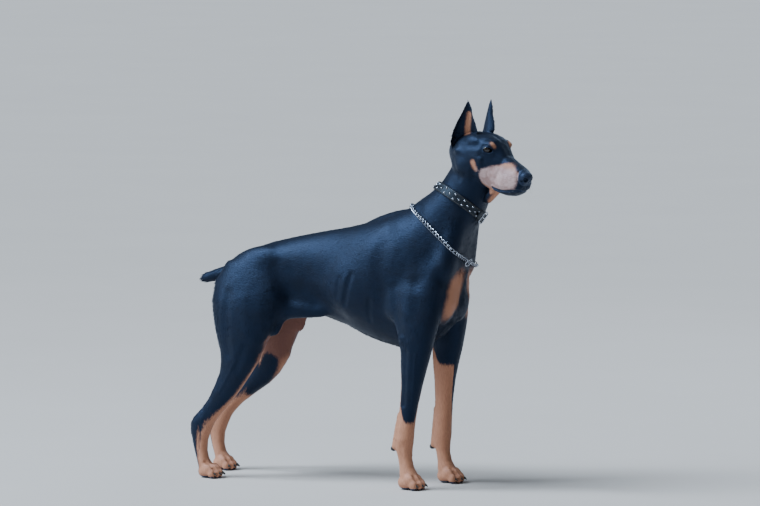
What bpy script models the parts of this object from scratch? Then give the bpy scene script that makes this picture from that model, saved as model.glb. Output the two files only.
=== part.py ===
"""Doberman pinscher standing square with its head turned to its right.

A still, life-size animal on a flat floor: X forward, Y to the animal's left, Z up, in metres.
"""

import math

import bmesh
import bpy
import numpy as np
from mathutils import Matrix, Vector
from mathutils.bvhtree import BVHTree

# Driving dimensions
CENTRE_SHIFT = -0.0481
GAP = 0.0004
BODY_VOXEL = 0.0045
HEAD_VOXEL = 0.0024
BODY_FACES = 5600
HEAD_FACES = 2500
TRUNK_ROUNDS = 16
RING_POINTS = 28

HEAD_ORIGIN = Vector((0.4145, -0.026, 0.801))
HEAD_YAW = math.radians(-18)
HEAD_PITCH = math.radians(14)
EYE_RADIUS = 0.0112
EYE_PLACE = Vector((-0.0085, 0.0310, -0.001))

COLLAR_NAPE = Vector((0.2500, 0.0, 0.7045))
COLLAR_THROAT = Vector((0.3810, 0.0, 0.6260))
COLLAR_ROLL = math.radians(-20)
COLLAR_WIDTH = 0.022
COLLAR_THICKNESS = 0.0034
CHAIN_WIDTH = 0.0092

# Torso sections: x, top, bottom, half width, height of the widest point, sharpness below it
TORSO = (
    (-0.305, 0.498, 0.440, 0.030, 0.470, 2.0),
    (-0.290, 0.518, 0.412, 0.048, 0.475, 2.0),
    (-0.261, 0.540, 0.392, 0.062, 0.480, 2.0),
    (-0.196, 0.564, 0.384, 0.072, 0.490, 2.0),
    (-0.150, 0.575, 0.386, 0.070, 0.500, 2.0),
    (-0.115, 0.583, 0.390, 0.066, 0.505, 2.0),
    (-0.051, 0.595, 0.390, 0.067, 0.500, 2.0),
    (0.009, 0.606, 0.371, 0.078, 0.490, 1.9),
    (0.060, 0.618, 0.348, 0.091, 0.485, 1.8),
    (0.100, 0.629, 0.335, 0.097, 0.485, 1.75),
    (0.160, 0.650, 0.321, 0.094, 0.490, 1.7),
    (0.215, 0.664, 0.330, 0.088, 0.500, 1.7),
    (0.256, 0.650, 0.355, 0.078, 0.505, 1.8),
    (0.286, 0.610, 0.388, 0.065, 0.500, 2.0),
    (0.304, 0.570, 0.425, 0.045, 0.495, 2.0),
)

# Neck sections: back point and front point in the side view, half width
NECK = (
    ((0.110, 0.620), (0.300, 0.420), 0.070),
    ((0.170, 0.655), (0.316, 0.515), 0.072),
    ((0.201, 0.676), (0.323, 0.570), 0.066),
    ((0.233, 0.699), (0.338, 0.612), 0.060),
    ((0.262, 0.726), (0.360, 0.646), 0.054),
    ((0.281, 0.755), (0.373, 0.677), 0.051),
    ((0.299, 0.788), (0.386, 0.706), 0.050),
    ((0.321, 0.815), (0.405, 0.722), 0.047),
)

# Foreleg sections: height, back, front, half width, distance from the middle
FORELEG = (
    (0.470, 0.150, 0.290, 0.034, 0.066),
    (0.420, 0.160, 0.288, 0.035, 0.072),
    (0.385, 0.172, 0.281, 0.033, 0.077),
    (0.352, 0.184, 0.273, 0.030, 0.081),
    (0.322, 0.189, 0.266, 0.0265, 0.083),
    (0.280, 0.190, 0.254, 0.0240, 0.084),
    (0.245, 0.191, 0.244, 0.0213, 0.084),
    (0.200, 0.1875, 0.233, 0.0190, 0.084),
    (0.168, 0.183, 0.227, 0.0186, 0.084),
    (0.140, 0.175, 0.223, 0.0205, 0.084),
    (0.116, 0.173, 0.221, 0.0212, 0.084),
    (0.095, 0.176, 0.218, 0.0190, 0.084),
    (0.074, 0.182, 0.217, 0.0162, 0.084),
    (0.052, 0.186, 0.222, 0.0172, 0.084),
    (0.036, 0.186, 0.232, 0.0200, 0.084),
    (0.018, 0.190, 0.230, 0.0200, 0.084),
)
FAR_FORE_STEP = 0.016

# Hind leg sections, in the same order
HINDLEG = (
    (0.520, -0.292, -0.160, 0.034, 0.046),
    (0.480, -0.312, -0.140, 0.040, 0.054),
    (0.450, -0.319, -0.128, 0.042, 0.060),
    (0.425, -0.3225, -0.127, 0.043, 0.064),
    (0.398, -0.319, -0.134, 0.042, 0.067),
    (0.360, -0.311, -0.154, 0.039, 0.071),
    (0.331, -0.303, -0.173, 0.035, 0.074),
    (0.304, -0.294, -0.186, 0.031, 0.077),
    (0.283, -0.292, -0.192, 0.0275, 0.079),
    (0.262, -0.294, -0.206, 0.0245, 0.080),
    (0.240, -0.302, -0.221, 0.0220, 0.081),
    (0.215, -0.313, -0.238, 0.0198, 0.082),
    (0.190, -0.327, -0.259, 0.0180, 0.082),
    (0.165, -0.346, -0.281, 0.0172, 0.082),
    (0.145, -0.365, -0.299, 0.0172, 0.082),
    (0.131, -0.3740, -0.310, 0.0175, 0.082),
    (0.110, -0.3735, -0.320, 0.0172, 0.082),
    (0.090, -0.3690, -0.3280, 0.0160, 0.082),
    (0.064, -0.363, -0.330, 0.0152, 0.082),
    (0.045, -0.357, -0.326, 0.0170, 0.082),
    (0.030, -0.353, -0.312, 0.0190, 0.082),
    (0.016, -0.349, -0.309, 0.0190, 0.082),
)
FAR_HIND_STEP = -0.043

# Head sections in the head's own frame:
# x, top, bottom, half width, widest height, sharpness above and below
HEAD = (
    (-0.124, 0.000, -0.070, 0.036, -0.030, 2.0, 2.0),
    (-0.106, 0.013, -0.084, 0.048, -0.030, 2.2, 2.0),
    (-0.080, 0.022, -0.092, 0.055, -0.032, 2.4, 2.0),
    (-0.050, 0.027, -0.095, 0.057, -0.030, 2.5, 2.0),
    (-0.020, 0.028, -0.096, 0.052, -0.024, 2.6, 2.0),
    (0.000, 0.024, -0.096, 0.044, -0.026, 2.5, 2.1),
    (0.018, 0.011, -0.096, 0.0365, -0.040, 2.2, 2.3),
    (0.036, -0.004, -0.097, 0.0325, -0.052, 2.1, 2.5),
    (0.060, -0.011, -0.0955, 0.0300, -0.054, 2.2, 2.6),
    (0.080, -0.016, -0.0905, 0.0275, -0.052, 2.3, 2.6),
    (0.094, -0.020, -0.082, 0.0240, -0.048, 2.3, 2.4),
    (0.103, -0.026, -0.073, 0.0180, -0.046, 2.2, 2.2),
    (0.107, -0.034, -0.062, 0.0110, -0.046, 2.0, 2.0),
)

# Ear edges in the head's frame for the left side, from base to tip
EAR_FRONT = (
    (-0.0560, 0.0300, 0.0080),
    (-0.0490, 0.0300, 0.0300),
    (-0.0571, 0.0330, 0.0457),
    (-0.0690, 0.0350, 0.0625),
    (-0.0755, 0.0365, 0.0790),
    (-0.0855, 0.0380, 0.0930),
)
EAR_REAR = (
    (-0.1010, 0.0480, -0.0330),
    (-0.1020, 0.0600, -0.0100),
    (-0.1004, 0.0600, 0.0180),
    (-0.0960, 0.0550, 0.0430),
    (-0.0925, 0.0470, 0.0670),
    (-0.0895, 0.0395, 0.0930),
)
EAR_DEPTH = 0.024
EAR_WALL = 0.0034
EAR_ARC = 7
EAR_STEPS = 9
CLAW_LENGTH = 0.0135
CLAW_HEIGHT = 0.0068
CLAW_WIDTH = 0.0046

# Side view outlines (x, z) where the skin is parted
HEAD_SIDE = ((0.204, 0.858), (0.3510, 0.7210), (0.404, 0.6715), (0.8, 0.55), (0.8, 1.1), (0.204, 1.1))
BEHIND_HEAD = ((0.204, 0.858), (0.3510, 0.7210), (0.404, 0.6715), (0.5, 0.3), (0.0, 0.3), (0.0, 0.858))
FORELEG_REGION = ((0.120, 0.360), (0.345, 0.372), (0.345, -0.1), (0.120, -0.1))
FOREPAW_REGION = ((0.120, 0.053), (0.345, 0.060), (0.345, -0.1), (0.120, -0.1))
HINDLEG_REGION = (
    (-0.320, 0.450), (-0.285, 0.478), (-0.215, 0.500), (-0.150, 0.465), (-0.112, 0.405),
    (-0.130, 0.375), (-0.090, 0.320), (-0.090, -0.1), (-0.480, -0.1), (-0.480, 0.444),
)
HINDPAW_REGION = ((-0.500, 0.046), (-0.200, 0.054), (-0.200, -0.1), (-0.500, -0.1))
NECK_REGION = (
    (0.160, 0.700), (0.215, 0.645), (0.335, 0.515), (0.420, 0.440), (0.600, 0.700), (0.160, 1.000),
)
TAIL_REGION = ((-0.308, 0.530), (-0.3245, 0.462), (-0.450, 0.440), (-0.450, 0.530))
RUMP_REGION = ((-0.030, 0.2), (-0.030, 0.8), (-0.6, 0.8), (-0.6, 0.2))
NOSE_REGION = (
    (0.0900, 0.0), (0.0900, -0.0290), (0.0965, -0.0480), (0.1080, -0.0560), (0.130, -0.056), (0.130, 0.0),
)
JAW_REGION = (
    (0.0240, -0.0835), (0.0440, -0.0845), (0.0640, -0.0815), (0.0840, -0.0745), (0.1000, -0.0700),
    (0.1300, -0.0690), (0.1300, -0.2), (0.0240, -0.2),
)

COLLAR_STEPS = 44
COLLAR_CLEAR = 0.0014
CHAIN_BACK = Vector((0.1900, 0.0, 0.6480))
CHAIN_FRONT = Vector((0.3315, 0.0, 0.5260))
CHAIN_ROLL = math.radians(-15)
CHAIN_STEPS = 72
CHAIN_THICKNESS = 0.0042
RING_RADIUS = 0.0098
RING_WIRE = 0.0016
RING_TURN = math.radians(-9)

BLACK = (0.012, 0.014, 0.020, 1.0)
RUST = (0.27, 0.12, 0.055, 1.0)


# Materials and objects


def material(name, colour, roughness, metallic=0.0):
    made = bpy.data.materials.new(name)
    made.use_nodes = True
    shader = made.node_tree.nodes["Principled BSDF"]
    shader.inputs["Base Color"].default_value = colour
    shader.inputs["Roughness"].default_value = roughness
    shader.inputs["Metallic"].default_value = metallic
    made.diffuse_color = colour
    return made


def add_object(name, mesh, helper=False):
    made = bpy.data.objects.new(name, mesh)
    bpy.context.scene.collection.objects.link(made)
    if helper:
        made.hide_render = True
        made.display_type = "WIRE"
    return made


def mesh_from(bm, name):
    bmesh.ops.recalc_face_normals(bm, faces=bm.faces)
    mesh = bpy.data.meshes.new(name)
    bm.to_mesh(mesh)
    bm.free()
    return mesh


def evaluated_mesh(obj):
    """The object's mesh with its modifiers applied."""
    graph = bpy.context.evaluated_depsgraph_get()
    mesh = bpy.data.meshes.new_from_object(obj.evaluated_get(graph))
    return mesh


def apply_modifiers(obj):
    mesh = evaluated_mesh(obj)
    obj.modifiers.clear()
    obj.data = mesh


def remove(obj):
    bpy.data.objects.remove(obj)


# Base forms


def signed_power(value, power):
    return math.copysign(abs(value) ** power, value)


def loft(bm, rings):
    """Skins a row of closed rings of points and caps both ends."""
    rows = [[bm.verts.new(point) for point in ring] for ring in rings]
    count = len(rows[0])
    for first, second in zip(rows, rows[1:]):
        for i in range(count):
            j = (i + 1) % count
            bm.faces.new((first[i], first[j], second[j], second[i]))
    bm.faces.new(rows[0][::-1])
    bm.faces.new(rows[-1])


def upright_ring(x, top, bottom, half, wide, above, below):
    """A section across the X axis, with its own sharpness above and below its widest height."""
    points = []
    for i in range(RING_POINTS):
        angle = math.tau * i / RING_POINTS
        sine, cosine = math.sin(angle), math.cos(angle)
        sharp, reach = (above, top - wide) if sine >= 0 else (below, wide - bottom)
        y = half * signed_power(cosine, 2 / sharp)
        points.append((x, y, wide + reach * signed_power(sine, 2 / sharp)))
    return points


def level_ring(z, back, front, half, y, sharp=2.2):
    """A flat section of a leg."""
    points = []
    middle, reach = (back + front) / 2, (front - back) / 2
    for i in range(RING_POINTS):
        angle = math.tau * i / RING_POINTS
        dx = reach * signed_power(math.cos(angle), 2 / sharp)
        dy = half * signed_power(math.sin(angle), 2 / sharp)
        points.append((middle + dx, y + dy, z))
    return points


def slanted_ring(back, front, half):
    """A section of the neck between a point of its crest and a point of its throat."""
    back, front = Vector((back[0], 0, back[1])), Vector((front[0], 0, front[1]))
    middle, reach = (back + front) / 2, (front - back) / 2
    points = []
    for i in range(RING_POINTS):
        angle = math.tau * i / RING_POINTS
        along = signed_power(math.cos(angle), 0.95)
        across = half * signed_power(math.sin(angle), 0.95)
        points.append(middle + reach * along + Vector((0, across * (1 + 0.08 * along), 0)))
    return points


def ball(bm, centre, radii, pitch=0.0, yaw=0.0):
    """An ellipsoid. A positive pitch tips its long X axis up at the front."""
    turn = Matrix.Rotation(yaw, 4, "Z") @ Matrix.Rotation(-pitch, 4, "Y")
    place = Matrix.Translation(centre) @ turn @ Matrix.Diagonal((*radii, 1))
    bmesh.ops.create_uvsphere(bm, u_segments=24, v_segments=14, radius=1, matrix=place)


# Steps of a rod: how far into its round end, and how far along it
LIMB_STEPS = (
    (-0.98, 0), (-0.8, 0), (-0.4, 0), (0, 0), (0, 0.33), (0, 0.66), (0, 1), (0.4, 1), (0.8, 1), (0.98, 1),
)


def limb(bm, start, end, first, second, flat=1.0):
    """A tapered rod with round ends, flattened sideways by the factor flat."""
    start, end = Vector(start), Vector(end)
    axis = (end - start).normalized()
    side = axis.cross(Vector((0, 1, 0)))
    side = side.normalized() if side.length > 1e-6 else Vector((1, 0, 0))
    other = axis.cross(side) * flat
    turns = [math.tau * i / 16 for i in range(16)]
    rings = []
    for cap, along in LIMB_STEPS:
        radius = first + (second - first) * along
        centre = start.lerp(end, along) + axis * radius * cap
        width = radius * math.sqrt(1 - cap * cap)
        rings.append([centre + (side * math.cos(t) + other * math.sin(t)) * width for t in turns])
    loft(bm, rings)


def neck_forms(bm):
    loft(bm, [slanted_ring(back, front, half) for back, front, half in NECK])


def torso_forms(bm):
    loft(bm, [upright_ring(x, t, b, h, w, 2.2, s) for x, t, b, h, w, s in TORSO])
    neck_forms(bm)
    ball(bm, (0.276, 0, 0.487), (0.030, 0.038, 0.048))
    ball(bm, (0.110, 0, 0.612), (0.100, 0.030, 0.028), math.radians(20))
    limb(bm, (-0.268, 0, 0.500), (-0.3780, 0, 0.4700), 0.021, 0.0135, 0.95)
    for side in (-1, 1):
        shoulder_forms(bm, side)
        hip_forms(bm, side)


def shoulder_forms(bm, side):
    limb(bm, (0.172, side * 0.040, 0.610), (0.258, side * 0.066, 0.490), 0.026, 0.034, 0.8)
    limb(bm, (0.261, side * 0.066, 0.478), (0.222, side * 0.078, 0.375), 0.034, 0.033, 0.85)
    ball(bm, (0.200, side * 0.074, 0.440), (0.062, 0.027, 0.072), math.radians(50))
    ball(bm, (0.269, side * 0.037, 0.448), (0.038, 0.036, 0.064))
    limb(bm, (0.318, side * 0.026, 0.660), (0.280, side * 0.052, 0.520), 0.026, 0.034)
    ball(bm, (0.075, side * 0.045, 0.480), (0.110, 0.052, 0.095), math.radians(8))


def hip_forms(bm, side):
    ball(bm, (-0.215, side * 0.046, 0.505), (0.085, 0.034, 0.050), math.radians(20))
    ball(bm, (-0.235, side * 0.062, 0.415), (0.078, 0.040, 0.100), math.radians(-8))
    limb(bm, (-0.165, side * 0.052, 0.455), (-0.203, side * 0.075, 0.318), 0.036, 0.024, 0.8)
    limb(bm, (-0.130, side * 0.045, 0.425), (-0.160, side * 0.062, 0.362), 0.020, 0.020, 0.5)
    limb(bm, (-0.150, side * 0.056, 0.409), (-0.040, side * 0.040, 0.404), 0.029, 0.015, 0.7)
    limb(bm, (-0.290, side * 0.056, 0.460), (-0.272, side * 0.072, 0.320), 0.032, 0.022, 0.85)


def leg_offset(z, step, top, bottom):
    """How far a far leg stands from the near one at this height."""
    share = min(1.0, max(0.0, (top - z) / (top - bottom)))
    return step * share * share * (3 - 2 * share)


def pad_place(side):
    """Where the small pad behind the wrist ends; the far one hangs lower."""
    step = FAR_FORE_STEP * 0.95 if side > 0 else 0.0
    return Vector((0.1700 + step, side * 0.087, 0.084 if side > 0 else 0.0955))


def foreleg_forms(bm, side):
    step = FAR_FORE_STEP if side > 0 else 0.0
    rings = []
    for z, back, front, half, y in FORELEG:
        dx = leg_offset(z, step, 0.30, 0.10)
        rings.append(level_ring(z, back + dx, front + dx, half, side * y))
    loft(bm, rings)
    ball(bm, (0.203, side * 0.082, 0.355), (0.018, 0.016, 0.024))
    low = pad_place(side)
    high = (0.188 + leg_offset(0.176, step, 0.30, 0.10), side * 0.085, 0.176)
    limb(bm, high, low + Vector((0.007, 0, 0.006)), 0.0080, 0.0082)
    paw_forms(bm, *paw_place(True, side), 0.040)


def hindleg_forms(bm, side):
    step = FAR_HIND_STEP if side > 0 else 0.0
    rings = []
    for z, back, front, half, y in HINDLEG:
        dx = leg_offset(z, step, 0.245, 0.150)
        rings.append(level_ring(z, back + dx, front + dx, half, side * y))
    loft(bm, rings)
    paw_forms(bm, *paw_place(False, side), 0.037)


def toe_places(cx, cy, length, width):
    """The middle of each of the four toes, and how far forward each one reaches."""
    for index in range(4):
        across = (index - 1.5) / 1.5
        forward = length * (0.235 if abs(across) < 0.5 else 0.115)
        yield cx + forward, cy + across * width * 0.36, across


def paw_place(fore, side):
    """The middle, length and width of a paw."""
    if fore:
        step = FAR_FORE_STEP * 1.2 if side > 0 else 0.0
        return 0.217 + step, side * 0.084, 0.066, 0.056
    step = FAR_HIND_STEP * 1.15 if side > 0 else 0.0
    return -0.321 + step, side * 0.082, 0.060, 0.052


def paw_forms(bm, cx, cy, length, width, height):
    """A paw of four toes, with pads that reach below the floor, where they are cut flat."""
    ball(bm, (cx - length * 0.18, cy, height * 0.42), (length * 0.36, width * 0.40, height * 0.50))
    ball(bm, (cx - length * 0.16, cy, 0.004), (length * 0.22, width * 0.30, 0.013))
    knuckle = (length * 0.24, width * 0.145, height * 0.38)
    tip = (length * 0.17, width * 0.135, height * 0.34)
    for x, y, across in toe_places(cx, cy, length, width):
        lean = across * 0.12
        ball(bm, (x - length * 0.10, y, height * 0.56), knuckle, yaw=lean)
        ball(bm, (x + length * 0.10, y + lean * 0.02, height * 0.30), tip)
        ball(bm, (x + length * 0.07, y, 0.003), (length * 0.13, width * 0.10, 0.011))


# Head


def head_matrix():
    forward = Matrix.Rotation(HEAD_YAW, 4, "Z") @ Matrix.Rotation(HEAD_PITCH, 4, "Y")
    return Matrix.Translation(HEAD_ORIGIN) @ forward


def head_forms(bm):
    """The head in its own frame: the origin lies midway between the eyes."""
    loft(bm, [upright_ring(*row) for row in HEAD])
    for side in (-1, 1):
        ball(bm, (-0.062, side * 0.036, -0.045), (0.046, 0.024, 0.042), math.radians(-10))
        limb(bm, (-0.080, side * 0.050, -0.024), (-0.012, side * 0.040, -0.026), 0.012, 0.012)
        ball(bm, (-0.008, side * 0.028, 0.010), (0.018, 0.012, 0.011))
        ball(bm, (-0.049, side * 0.033, 0.002), (0.033, 0.019, 0.021))
        ball(bm, (0.052, side * 0.020, -0.058), (0.044, 0.0135, 0.024), math.radians(3))
        ball(bm, (0.088, side * 0.011, -0.054), (0.020, 0.014, 0.019))
    ball(bm, (0.0980, 0, -0.0393), (0.0160, 0.0200, 0.0162))
    limb(bm, (0.014, 0, -0.092), (-0.006, 0, -0.122), 0.014, 0.012)


def curve_point(points, share):
    """A point along a polyline by its share of the number of spans."""
    place = min(max(share, 0.0), 1.0) * (len(points) - 1)
    index = min(int(place), len(points) - 2)
    return Vector(points[index]).lerp(Vector(points[index + 1]), place - index)


def ear_mesh(side):
    """An upright ear as a curved shell, open to the front and side, in the head's own frame."""
    bm = bmesh.new()
    facing = Vector((0.49, side * 0.87, 0.05)).normalized()
    rings = []
    for step in range(EAR_STEPS + 1):
        share = step / EAR_STEPS
        front, rear = curve_point(EAR_FRONT, share), curve_point(EAR_REAR, share)
        front.y *= side
        rear.y *= side
        middle, across = (front + rear) / 2, (front - rear) / 2
        depth = EAR_DEPTH * (1 - share) ** 0.7 + 0.0012
        wall = min(EAR_WALL * (1 - 0.45 * share), depth * 0.6)
        turns = [math.pi * i / EAR_ARC for i in range(EAR_ARC + 1)]
        outer = [middle + across * math.cos(t) - facing * depth * math.sin(t) for t in turns]
        shrink = across * (1 - wall / across.length)
        inner = []
        for t in turns[-2:0:-1]:
            inner.append(middle + shrink * math.cos(t) - facing * (depth - wall) * math.sin(t) ** 0.8)
        rings.append(outer + inner)
    loft(bm, rings)
    return mesh_from(bm, "ear")


# Sculpted relief


def relief(points, normals, path, radius, height):
    """Raises or sinks the points near a path by up to height, fading out at the radius."""
    path = [np.array(p, float) for p in path]
    best = np.full(len(points), np.inf)
    for a, b in zip(path, path[1:] or path):
        run = b - a
        along = np.clip((points - a) @ run / max(run @ run, 1e-12), 0, 1)
        best = np.minimum(best, np.linalg.norm(points - (a + along[:, None] * run), axis=1))
    share = np.clip(1 - best / radius, 0, 1)
    return normals * (height * share * share * (3 - 2 * share))[:, None]


def mesh_points(mesh):
    points = np.empty(len(mesh.vertices) * 3)
    normals = np.empty(len(mesh.vertices) * 3)
    mesh.vertices.foreach_get("co", points)
    mesh.vertices.foreach_get("normal", normals)
    return points.reshape(-1, 3), normals.reshape(-1, 3)


def sculpt(mesh, strokes):
    points, normals = mesh_points(mesh)
    moved = points.copy()
    for path, radius, height in strokes:
        moved += relief(points, normals, path, radius, height)
    mesh.vertices.foreach_set("co", moved.reshape(-1))
    mesh.update()


def body_strokes():
    """Grooves and ridges of the body, for both sides: path, radius, height."""
    one_side = (
        (((0.155, -0.10, 0.600), (0.135, -0.11, 0.520), (0.150, -0.11, 0.440)), 0.022, -0.0030),
        (((0.255, -0.09, 0.560), (0.268, -0.10, 0.500)), 0.020, -0.0022),
        (((0.240, -0.10, 0.470), (0.262, -0.10, 0.400)), 0.016, -0.0025),
        (((-0.080, -0.07, 0.460), (-0.060, -0.08, 0.420)), 0.045, -0.0060),
        (((-0.130, -0.08, 0.470), (-0.150, -0.09, 0.410)), 0.020, -0.0035),
        (((-0.262, -0.10, 0.440), (-0.255, -0.11, 0.350)), 0.018, -0.0030),
        (((-0.335, -0.10, 0.170), (-0.322, -0.10, 0.205)), 0.012, -0.0040),
        (((0.218, -0.11, 0.320), (0.205, -0.11, 0.200)), 0.010, -0.0016),
        (((0.165, -0.03, 0.664), (0.200, -0.03, 0.676)), 0.016, 0.0020),
    )
    for path, radius, height in one_side:
        yield path, radius, height
        yield [(x, -y, z) for x, y, z in path], radius, height


def head_strokes():
    one_side = (
        (((0.002, -0.046, -0.034), (0.020, -0.038, -0.040)), 0.014, -0.0030),
        (((-0.030, -0.060, -0.070), (-0.060, -0.060, -0.080)), 0.014, -0.0016),
        (((0.030, -0.034, -0.030), (0.070, -0.030, -0.030)), 0.014, -0.0016),
        (((-0.020, -0.05, 0.006), (-0.045, -0.055, 0.000)), 0.014, -0.0020),
    )
    for path, radius, height in one_side:
        yield path, radius, height
        yield [(x, -y, z) for x, y, z in path], radius, height
    yield ((-0.10, 0.0, 0.03), (0.02, 0.0, 0.02)), 0.012, -0.0016


# Fused skins


def weight_of_torso(point):
    """How strongly the skin is evened out: fully on the trunk, hardly on the legs and the head."""
    x, _, z = point
    low = min(1.0, max(0.0, (z - 0.30) / 0.12))
    neck = min(1.0, max(0.0, (0.80 - z - 0.25 * max(0.0, x - 0.25)) / 0.10))
    return low * neck


def fuse(name, bm, voxel, smooth, strokes, trunk=0):
    """One closed skin from overlapping forms, smoothed and sculpted."""
    obj = add_object(name, mesh_from(bm, name))
    remesh = obj.modifiers.new("fuse", "REMESH")
    remesh.mode = "VOXEL"
    remesh.voxel_size = voxel
    apply_modifiers(obj)
    if trunk:
        group = obj.vertex_groups.new(name="trunk")
        for vert in obj.data.vertices:
            group.add([vert.index], weight_of_torso(vert.co), "REPLACE")
        even = obj.modifiers.new("even", "SMOOTH")
        even.factor = 0.5
        even.iterations = trunk
        even.vertex_group = "trunk"
    soften = obj.modifiers.new("soften", "SMOOTH")
    soften.factor = 0.5
    soften.iterations = smooth
    apply_modifiers(obj)
    sculpt(obj.data, strokes)
    return obj


def thin(obj, faces):
    """Thins a skin to about this number of triangles."""
    triangulate = obj.modifiers.new("triangles", "TRIANGULATE")
    triangulate.quad_method = "BEAUTY"
    apply_modifiers(obj)
    fewer = obj.modifiers.new("fewer", "DECIMATE")
    fewer.ratio = faces / len(obj.data.polygons)
    apply_modifiers(obj)


def prism(name, outline, depth=(-0.3, 0.3), turn=None):
    """A side view outline (x, z) drawn out along Y, as a cutter."""
    bm = bmesh.new()
    rows = [[bm.verts.new((x, y, z)) for x, z in outline] for y in depth]
    bm.faces.new(rows[0])
    bm.faces.new(rows[1][::-1])
    count = len(outline)
    for i in range(count):
        j = (i + 1) % count
        bm.faces.new((rows[0][i], rows[0][j], rows[1][j], rows[1][i]))
    mesh = mesh_from(bm, name)
    if turn:
        mesh.transform(turn)
    return add_object(name, mesh, helper=True)


def boolean(obj, cutter, operation, solver="EXACT"):
    step = obj.modifiers.new(operation.lower(), "BOOLEAN")
    step.operation = operation
    step.object = cutter
    step.solver = solver


def grown(obj, name, amount):
    """A helper copy of an object with its skin moved out by the amount."""
    copy = add_object(name, obj.data.copy(), helper=True)
    points, normals = mesh_points(copy.data)
    copy.data.vertices.foreach_set("co", (points + normals * amount).reshape(-1))
    copy.data.update()
    return copy


def grow_outline(outline, amount):
    """A side view outline moved out by the amount."""
    area = sum(a[0] * b[1] - b[0] * a[1] for a, b in zip(outline, outline[1:] + outline[:1]))
    turn = 1 if area > 0 else -1
    moved = []
    count = len(outline)
    for i, point in enumerate(outline):
        before, here, after = Vector(outline[i - 1]), Vector(point), Vector(outline[(i + 1) % count])
        first, second = (here - before).normalized(), (after - here).normalized()
        out_a, out_b = Vector((first.y, -first.x)) * turn, Vector((second.y, -second.x)) * turn
        out = (out_a + out_b).normalized()
        moved.append(tuple(here + out * amount / max(out.dot(out_a), 0.5)))
    return moved


def split(obj, name, outline, depth, turn=None):
    """Parts a piece from obj along a side view outline, leaving a thin gap, and returns the piece."""
    piece = add_object(name, obj.data.copy())
    inside = prism(name + "_region", outline, depth, turn)
    wide = (depth[0] - GAP, depth[1] + GAP)
    outside = prism(name + "_gap", grow_outline(outline, GAP), wide, turn)
    for target, cutter, operation in ((piece, inside, "INTERSECT"), (obj, outside, "DIFFERENCE")):
        boolean(target, cutter, operation)
        apply_modifiers(target)
    remove(inside)
    remove(outside)
    return piece


def carve(obj, helper, solver="EXACT"):
    boolean(obj, helper, "DIFFERENCE", solver)
    apply_modifiers(obj)
    remove(helper)


def ball_helper(centre, radii, turn, segments=24):
    """A helper ellipsoid in the head's frame. The turn orients its axes."""
    bm = bmesh.new()
    place = Matrix.Translation(centre) @ turn @ Matrix.Diagonal((*radii, 1))
    bmesh.ops.create_uvsphere(bm, u_segments=segments, v_segments=segments // 2, radius=1, matrix=place)
    return add_object("ball", mesh_from(bm, "ball"), helper=True)


def paint(obj, look):
    obj.data.materials.clear()
    obj.data.materials.append(look)
    obj.data.shade_smooth()


# Body nodes


def add_forms(bm, forms, turn):
    """Adds forms that are drawn in another frame."""
    own = bmesh.new()
    forms(own)
    own.transform(turn)
    borrowed = bpy.data.meshes.new("forms")
    own.to_mesh(borrowed)
    own.free()
    bm.from_mesh(borrowed)


def build_body():
    bm = bmesh.new()
    torso_forms(bm)
    for side in (-1, 1):
        foreleg_forms(bm, side)
        hindleg_forms(bm, side)
    add_forms(bm, head_forms, head_matrix())
    body = fuse("chest", bm, BODY_VOXEL, 4, body_strokes(), TRUNK_ROUNDS)
    thin(body, BODY_FACES)
    return body


def floor_helper():
    return prism("floor", ((-0.7, -0.2), (0.7, -0.2), (0.7, 0.0), (-0.7, 0.0)), (-0.4, 0.4))


def part_body(body, black, rust, pad):
    """Parts the fused skin into the pieces of the animal, each with a thin gap to the next."""
    carve(body, floor_helper())
    pieces = {}
    discard = split(body, "discard", HEAD_SIDE, (-0.3, 0.3))
    remove(discard)
    for side, word in ((-1, "right"), (1, "left")):
        near, far = sorted((side * 0.046, side * 0.20))
        fore = split(body, "foreleg_" + word, FORELEG_REGION, (near, far))
        pieces["forepaw_" + word] = split(fore, "forepaw_" + word, FOREPAW_REGION, (near, far))
        near, far = sorted((side * 0.008, side * 0.20))
        hind = split(body, "hindleg_" + word, HINDLEG_REGION, (near, far))
        pieces["hindpaw_" + word] = split(hind, "hindpaw_" + word, HINDPAW_REGION, (near, far))
        paint(fore, black)
        paint(hind, black)
        add_carpal_pad(fore, word, side, pad)
    for name, piece in pieces.items():
        paint(piece, rust)
        side = -1 if name.endswith("right") else 1
        add_claws(piece, name, side, pad)
    tail = split(body, "tail", TAIL_REGION, (-0.3, 0.3))
    neck = split(body, "neck", NECK_REGION, (-0.3, 0.3))
    rump = split(body, "rump", RUMP_REGION, (-0.3, 0.3))
    for piece in (body, neck, rump, tail):
        paint(piece, black)


def add_carpal_pad(leg, word, side, look):
    bm = bmesh.new()
    place = pad_place(side)
    limb(bm, place + Vector((0.014, 0, 0.004)), place, 0.0078, 0.0066)
    obj = add_object("carpal_pad_" + word, mesh_from(bm, "pad"))
    carve(obj, grown(leg, "leg_grown", GAP))
    keep_largest(obj)
    paint(obj, look)


def keep_largest(obj):
    """Keeps only the largest separate body of a mesh."""
    bm = bmesh.new()
    bm.from_mesh(obj.data)
    left, bodies = set(bm.verts), []
    while left:
        todo, body = [left.pop()], set()
        while todo:
            vert = todo.pop()
            body.add(vert)
            for edge in vert.link_edges:
                other = edge.other_vert(vert)
                if other in left:
                    left.remove(other)
                    todo.append(other)
        bodies.append(body)
    biggest = max(bodies, key=len)
    loose = [v for body in bodies if body is not biggest for v in body]
    bmesh.ops.delete(bm, geom=loose, context="VERTS")
    bm.to_mesh(obj.data)
    bm.free()


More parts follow.
